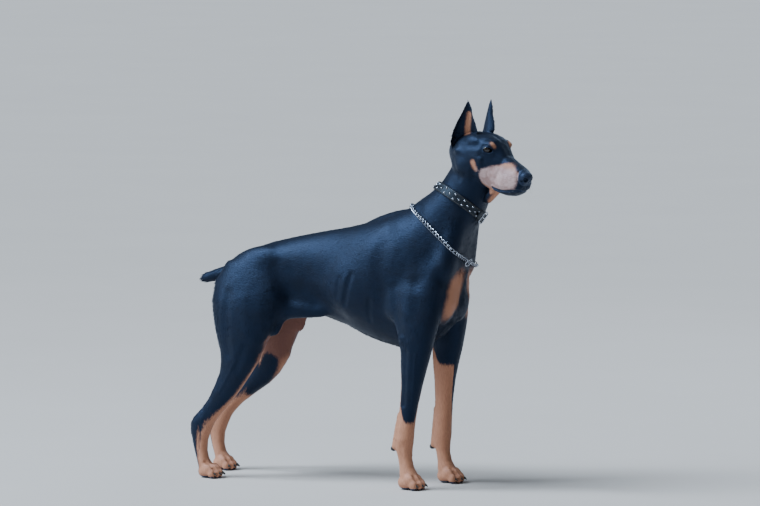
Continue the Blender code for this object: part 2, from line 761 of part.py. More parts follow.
def add_claws(paw, name, side, look):
    """Four short curved claws, each starting just clear of its toe."""
    fore = name.startswith("fore")
    cx, cy, length, width = paw_place(fore, side)
    for number, (x, y, across) in enumerate(toe_places(cx, cy, length, width), 1):
        bm = bmesh.new()
        start = Vector((x + length * 0.17, y + across * 0.002, 0.0125))
        ahead = Vector((math.cos(across * 0.12), math.sin(across * 0.12), 0))
        claw_forms(bm, start, ahead)
        claw = add_object(f"{name}_claw_{number}", mesh_from(bm, "claw"))
        carve(claw, grown(paw, "paw_grown", GAP))
        keep_largest(claw)
        paint(claw, look)


def claw_forms(bm, start, ahead):
    rings = []
    across = Vector((-ahead.y, ahead.x, 0))
    for step in range(5):
        share = step / 4
        bend = math.radians(18 + 46 * share)
        centre = start + ahead * CLAW_LENGTH * share - Vector((0, 0, CLAW_LENGTH * 0.42 * share * share))
        up = ahead * math.sin(bend) + Vector((0, 0, math.cos(bend)))
        size = 1 - 0.82 * share
        turns = [math.tau * i / 6 for i in range(6)]
        tall, wide = up * CLAW_HEIGHT / 2 * size, across * CLAW_WIDTH / 2 * size
        rings.append([centre + tall * math.sin(t) + wide * math.cos(t) for t in turns])
    loft(bm, rings)


# Head nodes


def build_head(black, leather, eye_look):
    turn = head_matrix()
    bm = bmesh.new()
    head_forms(bm)
    add_forms(bm, neck_forms, turn.inverted())
    head = fuse("head", bm, HEAD_VOXEL, 6, head_strokes())
    thin(head, HEAD_FACES)
    for side, word in ((-1, "right"), (1, "left")):
        add_ear(head, side, word, black, turn)
    carve(head, prism("behind", BEHIND_HEAD, (-0.3, 0.3), turn.inverted()))
    keep_largest(head)
    nose = split(head, "nose", NOSE_REGION, (-0.06, 0.06))
    jaw = split(head, "lower_jaw", JAW_REGION, (-0.06, 0.06))
    keep_largest(nose)
    keep_largest(jaw)
    keep_largest(head)
    for side, word in ((-1, "right"), (1, "left")):
        add_eye(head, side, word, eye_look, turn)
        nostril = Matrix.Rotation(side * 0.55, 4, "Z") @ Matrix.Rotation(-0.5, 4, "Y")
        carve(nose, ball_helper((0.1045, side * 0.0088, -0.0400), (0.0085, 0.0036, 0.0046), nostril, 12))
    for piece, look in ((head, black), (nose, leather), (jaw, black)):
        paint(piece, look)
        piece.data.transform(turn)
    return head


def add_eye(head, side, word, look, turn):
    centre = Vector((EYE_PLACE.x, side * EYE_PLACE.y, EYE_PLACE.z))
    gaze = Matrix.Rotation(side * math.radians(38), 4, "Z") @ Matrix.Rotation(math.radians(-4), 4, "Y")
    opening = centre + gaze @ Vector((EYE_RADIUS * 0.98, 0, 0))
    carve(head, ball_helper(opening, (0.0150, 0.0104, 0.0056), gaze, 20))
    carve(head, ball_helper(centre, (EYE_RADIUS + GAP,) * 3, gaze, 24))
    bm = bmesh.new()
    place = turn @ Matrix.Translation(centre) @ gaze
    bmesh.ops.create_uvsphere(bm, u_segments=16, v_segments=10, radius=EYE_RADIUS, matrix=place)
    eye = add_object("eye_" + word, mesh_from(bm, "eye"))
    paint(eye, look)


def add_ear(head, side, word, look, turn):
    ear = add_object("ear_" + word, ear_mesh(side))
    carve(ear, grown(head, "head_grown", GAP), "MANIFOLD")
    keep_largest(ear)
    paint(ear, look)
    ear.data.transform(turn)


# Collar and chain


def loop_frame(back, front, roll):
    """The middle, the forward direction and the axis of a slanted loop round the neck."""
    middle = (back + front) / 2
    ahead = (front - back).normalized()
    return middle, ahead, Matrix.Rotation(roll, 3, ahead) @ ahead.cross(Vector((0, 1, 0)))


def loop_out(ahead, axis, angle):
    """The direction out of a loop at an angle from its front."""
    return ahead * math.cos(angle) + axis.cross(ahead) * math.sin(angle)


def skin_radius(tree, middle, ahead, axis, level, angle):
    """How far the neck's skin is from the loop's axis at this level and angle."""
    out = loop_out(ahead, axis, angle)
    start = middle + axis * level + out * 0.25
    hit = tree.ray_cast(start, -out)[0]
    return (hit - (middle + axis * level)).length


def smooth_loop(values, rounds):
    for _ in range(rounds):
        values = [
            max(values[i], (values[i - 1] + values[i] * 2 + values[(i + 1) % len(values)]) / 4)
            for i in range(len(values))
        ]
    return values


def closed_tube(bm, sections):
    """Skins a closed loop of sections."""
    rows = [[bm.verts.new(point) for point in ring] for ring in sections]
    for k, first in enumerate(rows):
        second = rows[(k + 1) % len(rows)]
        for i in range(len(first)):
            j = (i + 1) % len(first)
            bm.faces.new((first[i], first[j], second[j], second[i]))


def collar_radii(tree):
    middle, ahead, axis = loop_frame(COLLAR_NAPE, COLLAR_THROAT, COLLAR_ROLL)
    levels = (-COLLAR_WIDTH / 2, 0.0, COLLAR_WIDTH / 2)
    rows = []
    for level in levels:
        row = [
            skin_radius(tree, middle, ahead, axis, level, math.tau * i / COLLAR_STEPS)
            for i in range(COLLAR_STEPS)
        ]
        rows.append(smooth_loop(row, 6))
    return middle, ahead, axis, levels, rows


def add_collar(tree, leather):
    middle, ahead, axis, levels, rows = collar_radii(tree)
    sections = []
    for i in range(COLLAR_STEPS):
        angle = math.tau * i / COLLAR_STEPS
        out = loop_out(ahead, axis, angle)
        mean = (rows[0][i] + rows[2][i]) / 2
        lower, upper = max(rows[0][i], mean), max(rows[2][i], mean - 0.004)
        lift = COLLAR_CLEAR + max(0.0, rows[1][i] - (lower + upper) / 2)
        inner = (lower + lift, upper + lift)
        section = [
            middle + axis * levels[0] + out * inner[0],
            middle + axis * levels[0] + out * (inner[0] + COLLAR_THICKNESS),
            middle + axis * levels[2] + out * (inner[1] + COLLAR_THICKNESS),
            middle + axis * levels[2] + out * inner[1],
        ]
        sections.append(section)
    bm = bmesh.new()
    closed_tube(bm, sections)
    collar = add_object("collar", mesh_from(bm, "collar"))
    paint(collar, leather)
    return collar


def torus_mesh(major, minor, around, across):
    bm = bmesh.new()
    up = Vector((0, 0, 1))
    sections = []
    for k in range(around):
        turn = math.tau * k / around
        out = Vector((math.cos(turn), math.sin(turn), 0))
        turns = [math.tau * i / across for i in range(across)]
        sections.append([out * (major + minor * math.cos(t)) + up * minor * math.sin(t) for t in turns])
    closed_tube(bm, sections)
    return mesh_from(bm, "ring")


def add_chain(tree, metal):
    middle, ahead, axis = loop_frame(CHAIN_BACK, CHAIN_FRONT, CHAIN_ROLL)
    radii = []
    for i in range(CHAIN_STEPS):
        angle = math.tau * i / CHAIN_STEPS
        levels = (-CHAIN_WIDTH / 2, 0.0, CHAIN_WIDTH / 2)
        radii.append(max(skin_radius(tree, middle, ahead, axis, level, angle) for level in levels))
    radii = smooth_loop(radii, 6)
    sections = []
    for i, radius in enumerate(radii):
        angle = math.tau * i / CHAIN_STEPS
        out = loop_out(ahead, axis, angle)
        size = 1.0 if i % 2 else 0.72
        half, thick = CHAIN_WIDTH / 2 * size, CHAIN_THICKNESS / 2 * size
        centre = middle + out * (radius + CHAIN_THICKNESS / 2 + COLLAR_CLEAR)
        sections.append([
            centre + axis * half * math.cos(math.tau * k / 6) + out * thick * math.sin(math.tau * k / 6)
            for k in range(6)
        ])
    bm = bmesh.new()
    closed_tube(bm, sections)
    chain = add_object("chain", mesh_from(bm, "chain"))
    paint(chain, metal)
    add_ring("chain_ring", tree, middle, axis, loop_out(ahead, axis, RING_TURN), metal)


def add_ring(name, tree, middle, axis, out, metal):
    """A ring that lies over the front of the chain, a little to the near side."""
    ring = add_object(name, torus_mesh(RING_RADIUS, RING_WIRE, 18, 6))
    reach = 0
    for up in (-1, 0, 1):
        start = middle + out * 0.3 + axis * RING_RADIUS * up
        hit = tree.ray_cast(start, -out)[0]
        reach = max(reach, (hit - middle).dot(out))
    ring.location = middle + out * (reach + COLLAR_CLEAR + CHAIN_THICKNESS + RING_WIRE + 0.0016)
    ring.rotation_euler = out.to_track_quat("Z", "Y").to_euler()
    paint(ring, metal)


def main():
    for obj in list(bpy.data.objects):
        bpy.data.objects.remove(obj)
    black = material("black_coat", BLACK, 0.38)
    rust = material("rust_coat", RUST, 0.55)
    leather = material("black_leather", (0.010, 0.010, 0.011, 1), 0.42)
    nose_leather = material("nose_leather", (0.012, 0.012, 0.014, 1), 0.36)
    claw = material("dark_horn", (0.016, 0.014, 0.013, 1), 0.4)
    iris = material("dark_eye", (0.020, 0.009, 0.004, 1), 0.06)
    steel = material("polished_steel", (0.72, 0.73, 0.75, 1), 0.18, 1.0)
    body = build_body()
    corners = [v.co for v in body.data.vertices]
    tree = BVHTree.FromPolygons(corners, [p.vertices for p in body.data.polygons])
    add_collar(tree, leather)
    add_chain(tree, steel)
    part_body(body, black, rust, claw)
    build_head(black, nose_leather, iris)
    root = bpy.data.objects.new("doberman_pinscher", None)
    bpy.context.scene.collection.objects.link(root)
    for obj in list(bpy.data.objects):
        if obj is not root:
            obj.parent = root
    root.location.x = CENTRE_SHIFT


main()
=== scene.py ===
"""Skin, coat, eyes, collar and chain of a standing doberman pinscher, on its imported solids."""

import math

import bmesh
import bpy
import numpy as np
from mathutils import Matrix, Vector
from mathutils.bvhtree import BVHTree

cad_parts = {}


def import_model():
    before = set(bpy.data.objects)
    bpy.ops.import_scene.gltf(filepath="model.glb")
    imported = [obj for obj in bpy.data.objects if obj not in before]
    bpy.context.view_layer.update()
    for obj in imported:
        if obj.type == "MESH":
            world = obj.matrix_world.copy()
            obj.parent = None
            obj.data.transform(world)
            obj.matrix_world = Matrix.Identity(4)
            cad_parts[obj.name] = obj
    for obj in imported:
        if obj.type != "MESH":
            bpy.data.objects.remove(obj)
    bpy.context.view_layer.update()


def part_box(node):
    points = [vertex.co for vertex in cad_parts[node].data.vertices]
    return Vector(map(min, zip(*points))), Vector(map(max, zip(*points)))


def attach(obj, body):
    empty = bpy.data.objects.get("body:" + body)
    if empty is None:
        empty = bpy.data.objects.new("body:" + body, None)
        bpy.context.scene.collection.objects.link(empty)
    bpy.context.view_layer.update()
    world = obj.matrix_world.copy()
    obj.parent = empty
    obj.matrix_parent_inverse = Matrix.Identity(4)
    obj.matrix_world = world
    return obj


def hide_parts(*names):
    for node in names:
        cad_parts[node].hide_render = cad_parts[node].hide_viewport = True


# Driving dimensions, in metres. Everything is drawn round the photo's own middle and moved by
# CENTRE_SHIFT at the end.
CENTRE_SHIFT = -0.0481
BODY_VOXEL = 0.0022
HEAD_VOXEL = 0.0011
COAT_DEPTH = 0.0009
BODY_FACES = 184000
HEAD_FACES = 176000
RING_POINTS = 40
TRUNK_ROUNDS = 67
FOLD_ROUNDS = 240
BODY_ROUNDS = 15
HEAD_ROUNDS = 26
TEMPLE_ROUNDS = 150
FINE_ROUNDS = 3
SEED = 11

HEAD_ORIGIN = Vector((0.4145, -0.026, 0.801))
HEAD_YAW = math.radians(-18)
HEAD_PITCH = math.radians(14)
EYE_RADIUS = 0.0112
EYE_PLACE = Vector((-0.0085, 0.0310, -0.001))
EYE_OPENING = (0.0150, 0.0106, 0.0058)
NOSTRIL = (0.0080, 0.0047, 0.0056)
GAZE_OUT = math.radians(38)
GAZE_UP = math.radians(4)

COLLAR_NAPE = Vector((0.2500, 0.0, 0.7045))
COLLAR_THROAT = Vector((0.3810, 0.0, 0.6260))
COLLAR_ROLL = math.radians(-20)
COLLAR_WIDTH = 0.022
COLLAR_THICKNESS = 0.0034
COLLAR_CLEAR = 0.0014
COLLAR_STEPS = 176
STUD_PITCH = 0.0270
STUD_RADIUS = 0.0028
STUD_ROW = 0.0058
CHAIN_BACK = Vector((0.1900, 0.0, 0.6480))
CHAIN_FRONT = Vector((0.3315, 0.0, 0.5260))
CHAIN_ROLL = math.radians(-15)
CHAIN_WIDTH = 0.0092
CHAIN_THICKNESS = 0.0042
CHAIN_STEPS = 144
LINK_LENGTH = 0.0130
LINK_WIRE = 0.00110
RING_RADIUS = 0.0098
RING_WIRE = 0.0016
RING_TURN = math.radians(-9)
CLAW_LENGTH = 0.0135
BODY_TUFTS = 16000
HEAD_TUFTS = 8000

# Camera
VIEW_AZIMUTH = 27
VIEW_HEIGHT = 4.5
VIEW_LENS = 281.2
VIEW_DISTANCE = 14.0
VIEW_TARGET = Vector((0.0905, 0.0, 0.546))

# Torso sections: x, top, bottom, half width, height of the widest point, sharpness below it
TORSO = (
    (-0.305, 0.498, 0.440, 0.030, 0.470, 2.0),
    (-0.290, 0.518, 0.412, 0.048, 0.475, 2.0),
    (-0.261, 0.540, 0.392, 0.062, 0.480, 2.0),
    (-0.196, 0.564, 0.384, 0.072, 0.490, 2.0),
    (-0.150, 0.575, 0.386, 0.070, 0.500, 2.0),
    (-0.115, 0.583, 0.390, 0.066, 0.505, 2.0),
    (-0.051, 0.595, 0.390, 0.067, 0.500, 2.0),
    (0.009, 0.606, 0.371, 0.078, 0.490, 1.9),
    (0.060, 0.618, 0.348, 0.091, 0.485, 1.8),
    (0.100, 0.629, 0.335, 0.097, 0.485, 1.75),
    (0.160, 0.650, 0.321, 0.094, 0.490, 1.7),
    (0.215, 0.664, 0.330, 0.088, 0.500, 1.7),
    (0.256, 0.650, 0.355, 0.078, 0.505, 1.8),
    (0.286, 0.610, 0.388, 0.065, 0.500, 2.0),
    (0.304, 0.570, 0.425, 0.045, 0.495, 2.0),
)

# Neck sections: back point and front point in the side view, half width
NECK = (
    ((0.110, 0.620), (0.300, 0.420), 0.070),
    ((0.170, 0.655), (0.316, 0.515), 0.072),
    ((0.201, 0.676), (0.323, 0.570), 0.066),
    ((0.233, 0.699), (0.338, 0.612), 0.060),
    ((0.262, 0.726), (0.360, 0.646), 0.054),
    ((0.281, 0.755), (0.373, 0.677), 0.051),
    ((0.299, 0.788), (0.386, 0.706), 0.050),
    ((0.321, 0.815), (0.405, 0.722), 0.047),
)

# Foreleg sections: height, back, front, half width, distance from the middle
FORELEG = (
    (0.470, 0.150, 0.290, 0.034, 0.066),
    (0.420, 0.160, 0.288, 0.035, 0.072),
    (0.385, 0.172, 0.281, 0.033, 0.077),
    (0.352, 0.184, 0.273, 0.030, 0.081),
    (0.322, 0.189, 0.266, 0.0265, 0.083),
    (0.280, 0.190, 0.254, 0.0240, 0.084),
    (0.245, 0.191, 0.244, 0.0213, 0.084),
    (0.200, 0.1875, 0.233, 0.0190, 0.084),
    (0.168, 0.183, 0.227, 0.0186, 0.084),
    (0.140, 0.175, 0.223, 0.0205, 0.084),
    (0.116, 0.173, 0.221, 0.0212, 0.084),
    (0.095, 0.176, 0.218, 0.0190, 0.084),
    (0.074, 0.182, 0.217, 0.0162, 0.084),
    (0.052, 0.186, 0.222, 0.0172, 0.084),
    (0.036, 0.186, 0.232, 0.0200, 0.084),
    (0.018, 0.190, 0.230, 0.0200, 0.084),
)
FAR_FORE_STEP = 0.016

# Hind leg sections, in the same order
HINDLEG = (
    (0.520, -0.292, -0.160, 0.034, 0.046),
    (0.480, -0.312, -0.140, 0.040, 0.054),
    (0.450, -0.319, -0.128, 0.042, 0.060),
    (0.425, -0.3225, -0.127, 0.043, 0.064),
    (0.398, -0.319, -0.134, 0.042, 0.067),
    (0.360, -0.311, -0.154, 0.039, 0.071),
    (0.331, -0.303, -0.173, 0.035, 0.074),
    (0.304, -0.294, -0.186, 0.031, 0.077),
    (0.283, -0.292, -0.192, 0.0275, 0.079),
    (0.262, -0.294, -0.206, 0.0245, 0.080),
    (0.240, -0.302, -0.221, 0.0220, 0.081),
    (0.215, -0.313, -0.238, 0.0198, 0.082),
    (0.190, -0.327, -0.259, 0.0180, 0.082),
    (0.165, -0.346, -0.281, 0.0172, 0.082),
    (0.145, -0.365, -0.299, 0.0172, 0.082),
    (0.131, -0.3740, -0.310, 0.0175, 0.082),
    (0.110, -0.3735, -0.320, 0.0172, 0.082),
    (0.090, -0.3690, -0.3280, 0.0160, 0.082),
    (0.064, -0.363, -0.330, 0.0152, 0.082),
    (0.045, -0.357, -0.326, 0.0170, 0.082),
    (0.030, -0.353, -0.312, 0.0190, 0.082),
    (0.016, -0.349, -0.309, 0.0190, 0.082),
)
FAR_HIND_STEP = -0.043

# Head sections in the head's own frame: x, top, bottom, half width, widest height, sharpness above and below
HEAD = (
    (-0.124, 0.000, -0.070, 0.036, -0.030, 2.0, 2.0),
    (-0.106, 0.013, -0.084, 0.048, -0.030, 2.2, 2.0),
    (-0.080, 0.022, -0.092, 0.055, -0.032, 2.4, 2.0),
    (-0.050, 0.027, -0.095, 0.057, -0.030, 2.5, 2.0),
    (-0.020, 0.028, -0.096, 0.052, -0.024, 2.6, 2.0),
    (0.000, 0.024, -0.096, 0.044, -0.026, 2.5, 2.1),
    (0.018, 0.011, -0.096, 0.0365, -0.040, 2.2, 2.3),
    (0.036, -0.004, -0.097, 0.0325, -0.052, 2.1, 2.5),
    (0.060, -0.011, -0.0955, 0.0300, -0.054, 2.2, 2.6),
    (0.080, -0.016, -0.0905, 0.0275, -0.052, 2.3, 2.6),
    (0.094, -0.020, -0.082, 0.0240, -0.048, 2.3, 2.4),
    (0.103, -0.026, -0.073, 0.0180, -0.046, 2.2, 2.2),
    (0.107, -0.034, -0.062, 0.0110, -0.046, 2.0, 2.0),
)

# The nose leather in the head's frame (x, z)
NOSE_LEATHER = (
    (0.0905, 0.010), (0.0905, -0.0290), (0.0970, -0.0480), (0.1060, -0.0570), (0.140, -0.0570), (0.140, 0.010),
)

# Ear edges in the head's frame for the left side, from base to tip
EAR_FRONT = (
    (-0.0560, 0.0300, 0.0080),
    (-0.0490, 0.0300, 0.0300),
    (-0.0571, 0.0330, 0.0457),
    (-0.0690, 0.0350, 0.0625),
    (-0.0755, 0.0365, 0.0790),
    (-0.0855, 0.0380, 0.0930),
)
EAR_REAR = (
    (-0.1010, 0.0480, -0.0330),
    (-0.1020, 0.0600, -0.0100),
    (-0.1004, 0.0600, 0.0180),
    (-0.0960, 0.0550, 0.0430),
    (-0.0925, 0.0470, 0.0670),
    (-0.0895, 0.0395, 0.0930),
)
EAR_DEPTH = 0.024
EAR_WALL = 0.0034
EAR_FACING = Vector((0.49, 0.87, 0.05)).normalized()
EAR_STEPS = 24
EAR_ARC = 16

# The line between the lips in the head's frame (x, z), from the corner forward
MOUTH = ((0.0240, -0.0835), (0.0440, -0.0845), (0.0640, -0.0815), (0.0840, -0.0745), (0.1000, -0.0700))


# Objects and meshes


def add_object(name, mesh):
    made = bpy.data.objects.new(name, mesh)
    bpy.context.scene.collection.objects.link(made)
    return made


def mesh_from(bm, name):
    bmesh.ops.recalc_face_normals(bm, faces=bm.faces)
    mesh = bpy.data.meshes.new(name)
    bm.to_mesh(mesh)
    bm.free()
    return mesh


def apply_modifiers(obj):
    graph = bpy.context.evaluated_depsgraph_get()
    mesh = bpy.data.meshes.new_from_object(obj.evaluated_get(graph))
    obj.modifiers.clear()
    obj.data = mesh


def mesh_points(mesh):
    points = np.empty(len(mesh.vertices) * 3)
    normals = np.empty(len(mesh.vertices) * 3)
    mesh.vertices.foreach_get("co", points)
    mesh.vertices.foreach_get("normal", normals)
    return points.reshape(-1, 3), normals.reshape(-1, 3)


def set_points(mesh, points):
    mesh.vertices.foreach_set("co", np.ascontiguousarray(points, np.float32).reshape(-1))
    mesh.update()


def add_numbers(mesh, numbers):
    """Named numbers for each vertex, which the materials read."""
    for name, values in numbers.items():
        layer = mesh.attributes.new(name, "FLOAT", "POINT")
        layer.data.foreach_set("value", np.ascontiguousarray(values, np.float32))


def join_pieces(name, bm, look):
    """A smooth piece from a bmesh in the photo's frame."""
    bm.transform(Matrix.Translation((CENTRE_SHIFT, 0, 0)))
    made = add_object(name, mesh_from(bm, name))
    made.data.materials.append(look)
    made.data.shade_smooth()
    return made


# Base forms


def signed_power(value, power):
    return math.copysign(abs(value) ** power, value)


def loft(bm, rings):
    """Skins a row of closed rings of points and caps both ends."""
    rows = [[bm.verts.new(point) for point in ring] for ring in rings]
    count = len(rows[0])
    for first, second in zip(rows, rows[1:]):
        for i in range(count):
            j = (i + 1) % count
            bm.faces.new((first[i], first[j], second[j], second[i]))
    bm.faces.new(rows[0][::-1])
    bm.faces.new(rows[-1])


def closed_tube(bm, sections):
    """Skins a closed loop of sections."""
    rows = [[bm.verts.new(point) for point in ring] for ring in sections]
    for k, first in enumerate(rows):
        second = rows[(k + 1) % len(rows)]
        for i in range(len(first)):
            j = (i + 1) % len(first)
            bm.faces.new((first[i], first[j], second[j], second[i]))


def upright_ring(x, top, bottom, half, wide, above, below):
    """A section across the X axis, with its own sharpness above and below its widest height."""
    points = []
    for i in range(RING_POINTS):
        angle = math.tau * i / RING_POINTS
        sine, cosine = math.sin(angle), math.cos(angle)
        sharp, reach = (above, top - wide) if sine >= 0 else (below, wide - bottom)
        y = half * signed_power(cosine, 2 / sharp)
        points.append((x, y, wide + reach * signed_power(sine, 2 / sharp)))
    return points


def level_ring(z, back, front, half, y, sharp=2.2):
    """A flat section of a leg."""
    points = []
    middle, reach = (back + front) / 2, (front - back) / 2
    for i in range(RING_POINTS):
        angle = math.tau * i / RING_POINTS
        dx = reach * signed_power(math.cos(angle), 2 / sharp)
        dy = half * signed_power(math.sin(angle), 2 / sharp)
        points.append((middle + dx, y + dy, z))
    return points


def slanted_ring(back, front, half):
    """A section of the neck between a point of its crest and a point of its throat."""
    back, front = Vector((back[0], 0, back[1])), Vector((front[0], 0, front[1]))
    middle, reach = (back + front) / 2, (front - back) / 2
    points = []
    for i in range(RING_POINTS):
        angle = math.tau * i / RING_POINTS
        along = signed_power(math.cos(angle), 0.95)
        across = half * signed_power(math.sin(angle), 0.95)
        points.append(middle + reach * along + Vector((0, across * (1 + 0.08 * along), 0)))
    return points


def ball(bm, centre, radii, pitch=0.0, yaw=0.0):
    """An ellipsoid. A positive pitch tips its long X axis up at the front."""
    turn = Matrix.Rotation(yaw, 4, "Z") @ Matrix.Rotation(-pitch, 4, "Y")
    place = Matrix.Translation(centre) @ turn @ Matrix.Diagonal((*radii, 1))
    bmesh.ops.create_uvsphere(bm, u_segments=24, v_segments=14, radius=1, matrix=place)


def limb(bm, start, end, first, second, flat=1.0):
    """A tapered rod with round ends, flattened sideways by the factor flat."""
    start, end = Vector(start), Vector(end)
    axis = (end - start).normalized()
    side = axis.cross(Vector((0, 1, 0)))
    side = side.normalized() if side.length > 1e-6 else Vector((1, 0, 0))
    other = axis.cross(side) * flat
    caps = ((-0.98, 0), (-0.8, 0), (-0.4, 0), (0, 0), (0, 0.33), (0, 0.66), (0, 1), (0.4, 1), (0.8, 1), (0.98, 1))
    rings = []
    for cap, along in caps:
        radius = first + (second - first) * along
        centre = start.lerp(end, along) + axis * radius * cap
        width = radius * math.sqrt(1 - cap * cap)
        turns = [math.tau * i / 16 for i in range(16)]
        rings.append([centre + (side * math.cos(t) + other * math.sin(t)) * width for t in turns])
    loft(bm, rings)


def neck_forms(bm):
    loft(bm, [slanted_ring(back, front, half) for back, front, half in NECK])


def torso_forms(bm):
    loft(bm, [upright_ring(x, t, b, h, w, 2.2, s) for x, t, b, h, w, s in TORSO])
    neck_forms(bm)
    ball(bm, (0.276, 0, 0.487), (0.030, 0.038, 0.048))
    ball(bm, (0.110, 0, 0.612), (0.100, 0.030, 0.028), math.radians(20))
    limb(bm, (-0.268, 0, 0.500), (-0.3780, 0, 0.4700), 0.021, 0.0135, 0.95)
    for side in (-1, 1):
        shoulder_forms(bm, side)
        hip_forms(bm, side)


def shoulder_forms(bm, side):
    limb(bm, (0.172, side * 0.040, 0.610), (0.258, side * 0.066, 0.490), 0.026, 0.034, 0.8)
    limb(bm, (0.261, side * 0.066, 0.478), (0.222, side * 0.078, 0.375), 0.034, 0.033, 0.85)
    ball(bm, (0.200, side * 0.074, 0.440), (0.062, 0.027, 0.072), math.radians(50))
    ball(bm, (0.269, side * 0.037, 0.448), (0.038, 0.036, 0.064))
    limb(bm, (0.318, side * 0.026, 0.660), (0.280, side * 0.052, 0.520), 0.026, 0.034)
    ball(bm, (0.075, side * 0.045, 0.480), (0.110, 0.052, 0.095), math.radians(8))


def hip_forms(bm, side):
    ball(bm, (-0.215, side * 0.046, 0.505), (0.085, 0.034, 0.050), math.radians(20))
    ball(bm, (-0.235, side * 0.062, 0.415), (0.078, 0.040, 0.100), math.radians(-8))
    limb(bm, (-0.165, side * 0.052, 0.455), (-0.203, side * 0.075, 0.318), 0.036, 0.024, 0.8)
    limb(bm, (-0.130, side * 0.045, 0.425), (-0.160, side * 0.062, 0.362), 0.020, 0.020, 0.5)
    limb(bm, (-0.150, side * 0.056, 0.409), (-0.040, side * 0.040, 0.404), 0.029, 0.015, 0.7)
    limb(bm, (-0.290, side * 0.056, 0.460), (-0.272, side * 0.072, 0.320), 0.032, 0.022, 0.85)


def leg_offset(z, step, top, bottom):
    """How far a far leg stands from the near one at this height."""
    share = min(1.0, max(0.0, (top - z) / (top - bottom)))
    return step * share * share * (3 - 2 * share)


def pad_place(side):
    """Where the small pad behind the wrist ends; the far one hangs lower."""
    step = FAR_FORE_STEP * 0.95 if side > 0 else 0.0
    return Vector((0.1700 + step, side * 0.087, 0.084 if side > 0 else 0.0955))


def foreleg_forms(bm, side):
    step = FAR_FORE_STEP if side > 0 else 0.0
    rings = []
    for z, back, front, half, y in FORELEG:
        dx = leg_offset(z, step, 0.30, 0.10)
        rings.append(level_ring(z, back + dx, front + dx, half, side * y))
    loft(bm, rings)
    ball(bm, (0.203, side * 0.082, 0.355), (0.018, 0.016, 0.024))
    low = pad_place(side)
    high = (0.188 + leg_offset(0.176, step, 0.30, 0.10), side * 0.085, 0.176)
    limb(bm, high, low + Vector((0.0060, 0, 0.005)), 0.0085, 0.0108)
    paw_forms(bm, *paw_place(True, side), 0.040)


def hindleg_forms(bm, side):
    step = FAR_HIND_STEP if side > 0 else 0.0
    rings = []
    for z, back, front, half, y in HINDLEG:
        dx = leg_offset(z, step, 0.245, 0.150)
        rings.append(level_ring(z, back + dx, front + dx, half, side * y))
    loft(bm, rings)
    paw_forms(bm, *paw_place(False, side), 0.037)


def toe_places(cx, cy, length, width):
    """The middle of each of the four toes, and how far it lies to the side."""
    for index in range(4):
        across = (index - 1.5) / 1.5
        forward = length * (0.235 if abs(across) < 0.5 else 0.115)
        yield cx + forward, cy + across * width * 0.36, across


def paw_place(fore, side):
    """The middle, length and width of a paw."""
    if fore:
        step = FAR_FORE_STEP * 1.2 if side > 0 else 0.0
        return 0.217 + step, side * 0.084, 0.066, 0.056
    step = FAR_HIND_STEP * 1.15 if side > 0 else 0.0
    return -0.321 + step, side * 0.082, 0.060, 0.052


def paw_forms(bm, cx, cy, length, width, height):
    ball(bm, (cx - length * 0.18, cy, height * 0.42), (length * 0.36, width * 0.40, height * 0.50))
    for x, y, across in toe_places(cx, cy, length, width):
        lean = across * 0.12
        ball(bm, (x - length * 0.10, y, height * 0.56), (length * 0.24, width * 0.145, height * 0.38), yaw=lean)
        ball(bm, (x + length * 0.10, y + lean * 0.02, height * 0.30), (length * 0.17, width * 0.135, height * 0.34))


# Head forms


def head_matrix():
    turn = Matrix.Rotation(HEAD_YAW, 4, "Z") @ Matrix.Rotation(HEAD_PITCH, 4, "Y")
    return Matrix.Translation(HEAD_ORIGIN) @ turn


def head_forms(bm):
    """The head in its own frame: the origin lies midway between the eyes."""
    loft(bm, [upright_ring(*row) for row in HEAD])
    for side in (-1, 1):
        ball(bm, (-0.062, side * 0.036, -0.045), (0.046, 0.024, 0.042), math.radians(-10))
        limb(bm, (-0.080, side * 0.050, -0.024), (-0.012, side * 0.040, -0.026), 0.012, 0.012)
        ball(bm, (-0.008, side * 0.028, 0.010), (0.018, 0.012, 0.011))
        ball(bm, (-0.049, side * 0.033, 0.002), (0.033, 0.019, 0.021))
        ball(bm, (0.052, side * 0.020, -0.058), (0.044, 0.0135, 0.024), math.radians(3))
        ball(bm, (0.088, side * 0.011, -0.054), (0.020, 0.014, 0.019))
    ball(bm, (0.0980, 0, -0.0393), (0.0160, 0.0200, 0.0162))
    limb(bm, (0.014, 0, -0.092), (-0.006, 0, -0.122), 0.014, 0.012)


def curve_point(points, share):
    """A point along a polyline by its share of the number of spans."""
    place = min(max(share, 0.0), 1.0) * (len(points) - 1)
    index = min(int(place), len(points) - 2)
    return Vector(points[index]).lerp(Vector(points[index + 1]), place - index)


def ear_section(share):
    """The middle, half width, depth and wall of the left ear at a share of its height."""
    front, rear = curve_point(EAR_FRONT, share), curve_point(EAR_REAR, share)
    depth = EAR_DEPTH * (1 - share) ** 0.7 + 0.0012
    return (front + rear) / 2, (front - rear) / 2, depth, min(EAR_WALL * (1 - 0.45 * share), depth * 0.6)


def ear_back(share, turn):
    """A point on the back of the left ear."""
    middle, across, depth, _ = ear_section(share)
    return middle + across * math.cos(turn) - EAR_FACING * depth * math.sin(turn)


def ear_hollow(share, turn):
    """A point inside the left ear, at a turn in degrees from its front edge."""
    middle, across, depth, wall = ear_section(share)
    angle = math.radians(turn)
    shrink = across * (1 - wall / across.length)
    return middle + shrink * math.cos(angle) - EAR_FACING * (depth - wall) * math.sin(angle) ** 0.8


def ear_forms(bm, side):
    """An upright ear as a curved shell, open to the front and side."""
    turns = [math.pi * i / EAR_ARC for i in range(EAR_ARC + 1)]
    rings = []
    for step in range(EAR_STEPS + 1):
        share = step / EAR_STEPS
        ring = [ear_back(share, turn) for turn in turns]
        ring += [ear_hollow(share, math.degrees(turn)) for turn in turns[-2:0:-1]]
        for point in ring:
            point.y *= side
        rings.append(ring)
    loft(bm, rings)


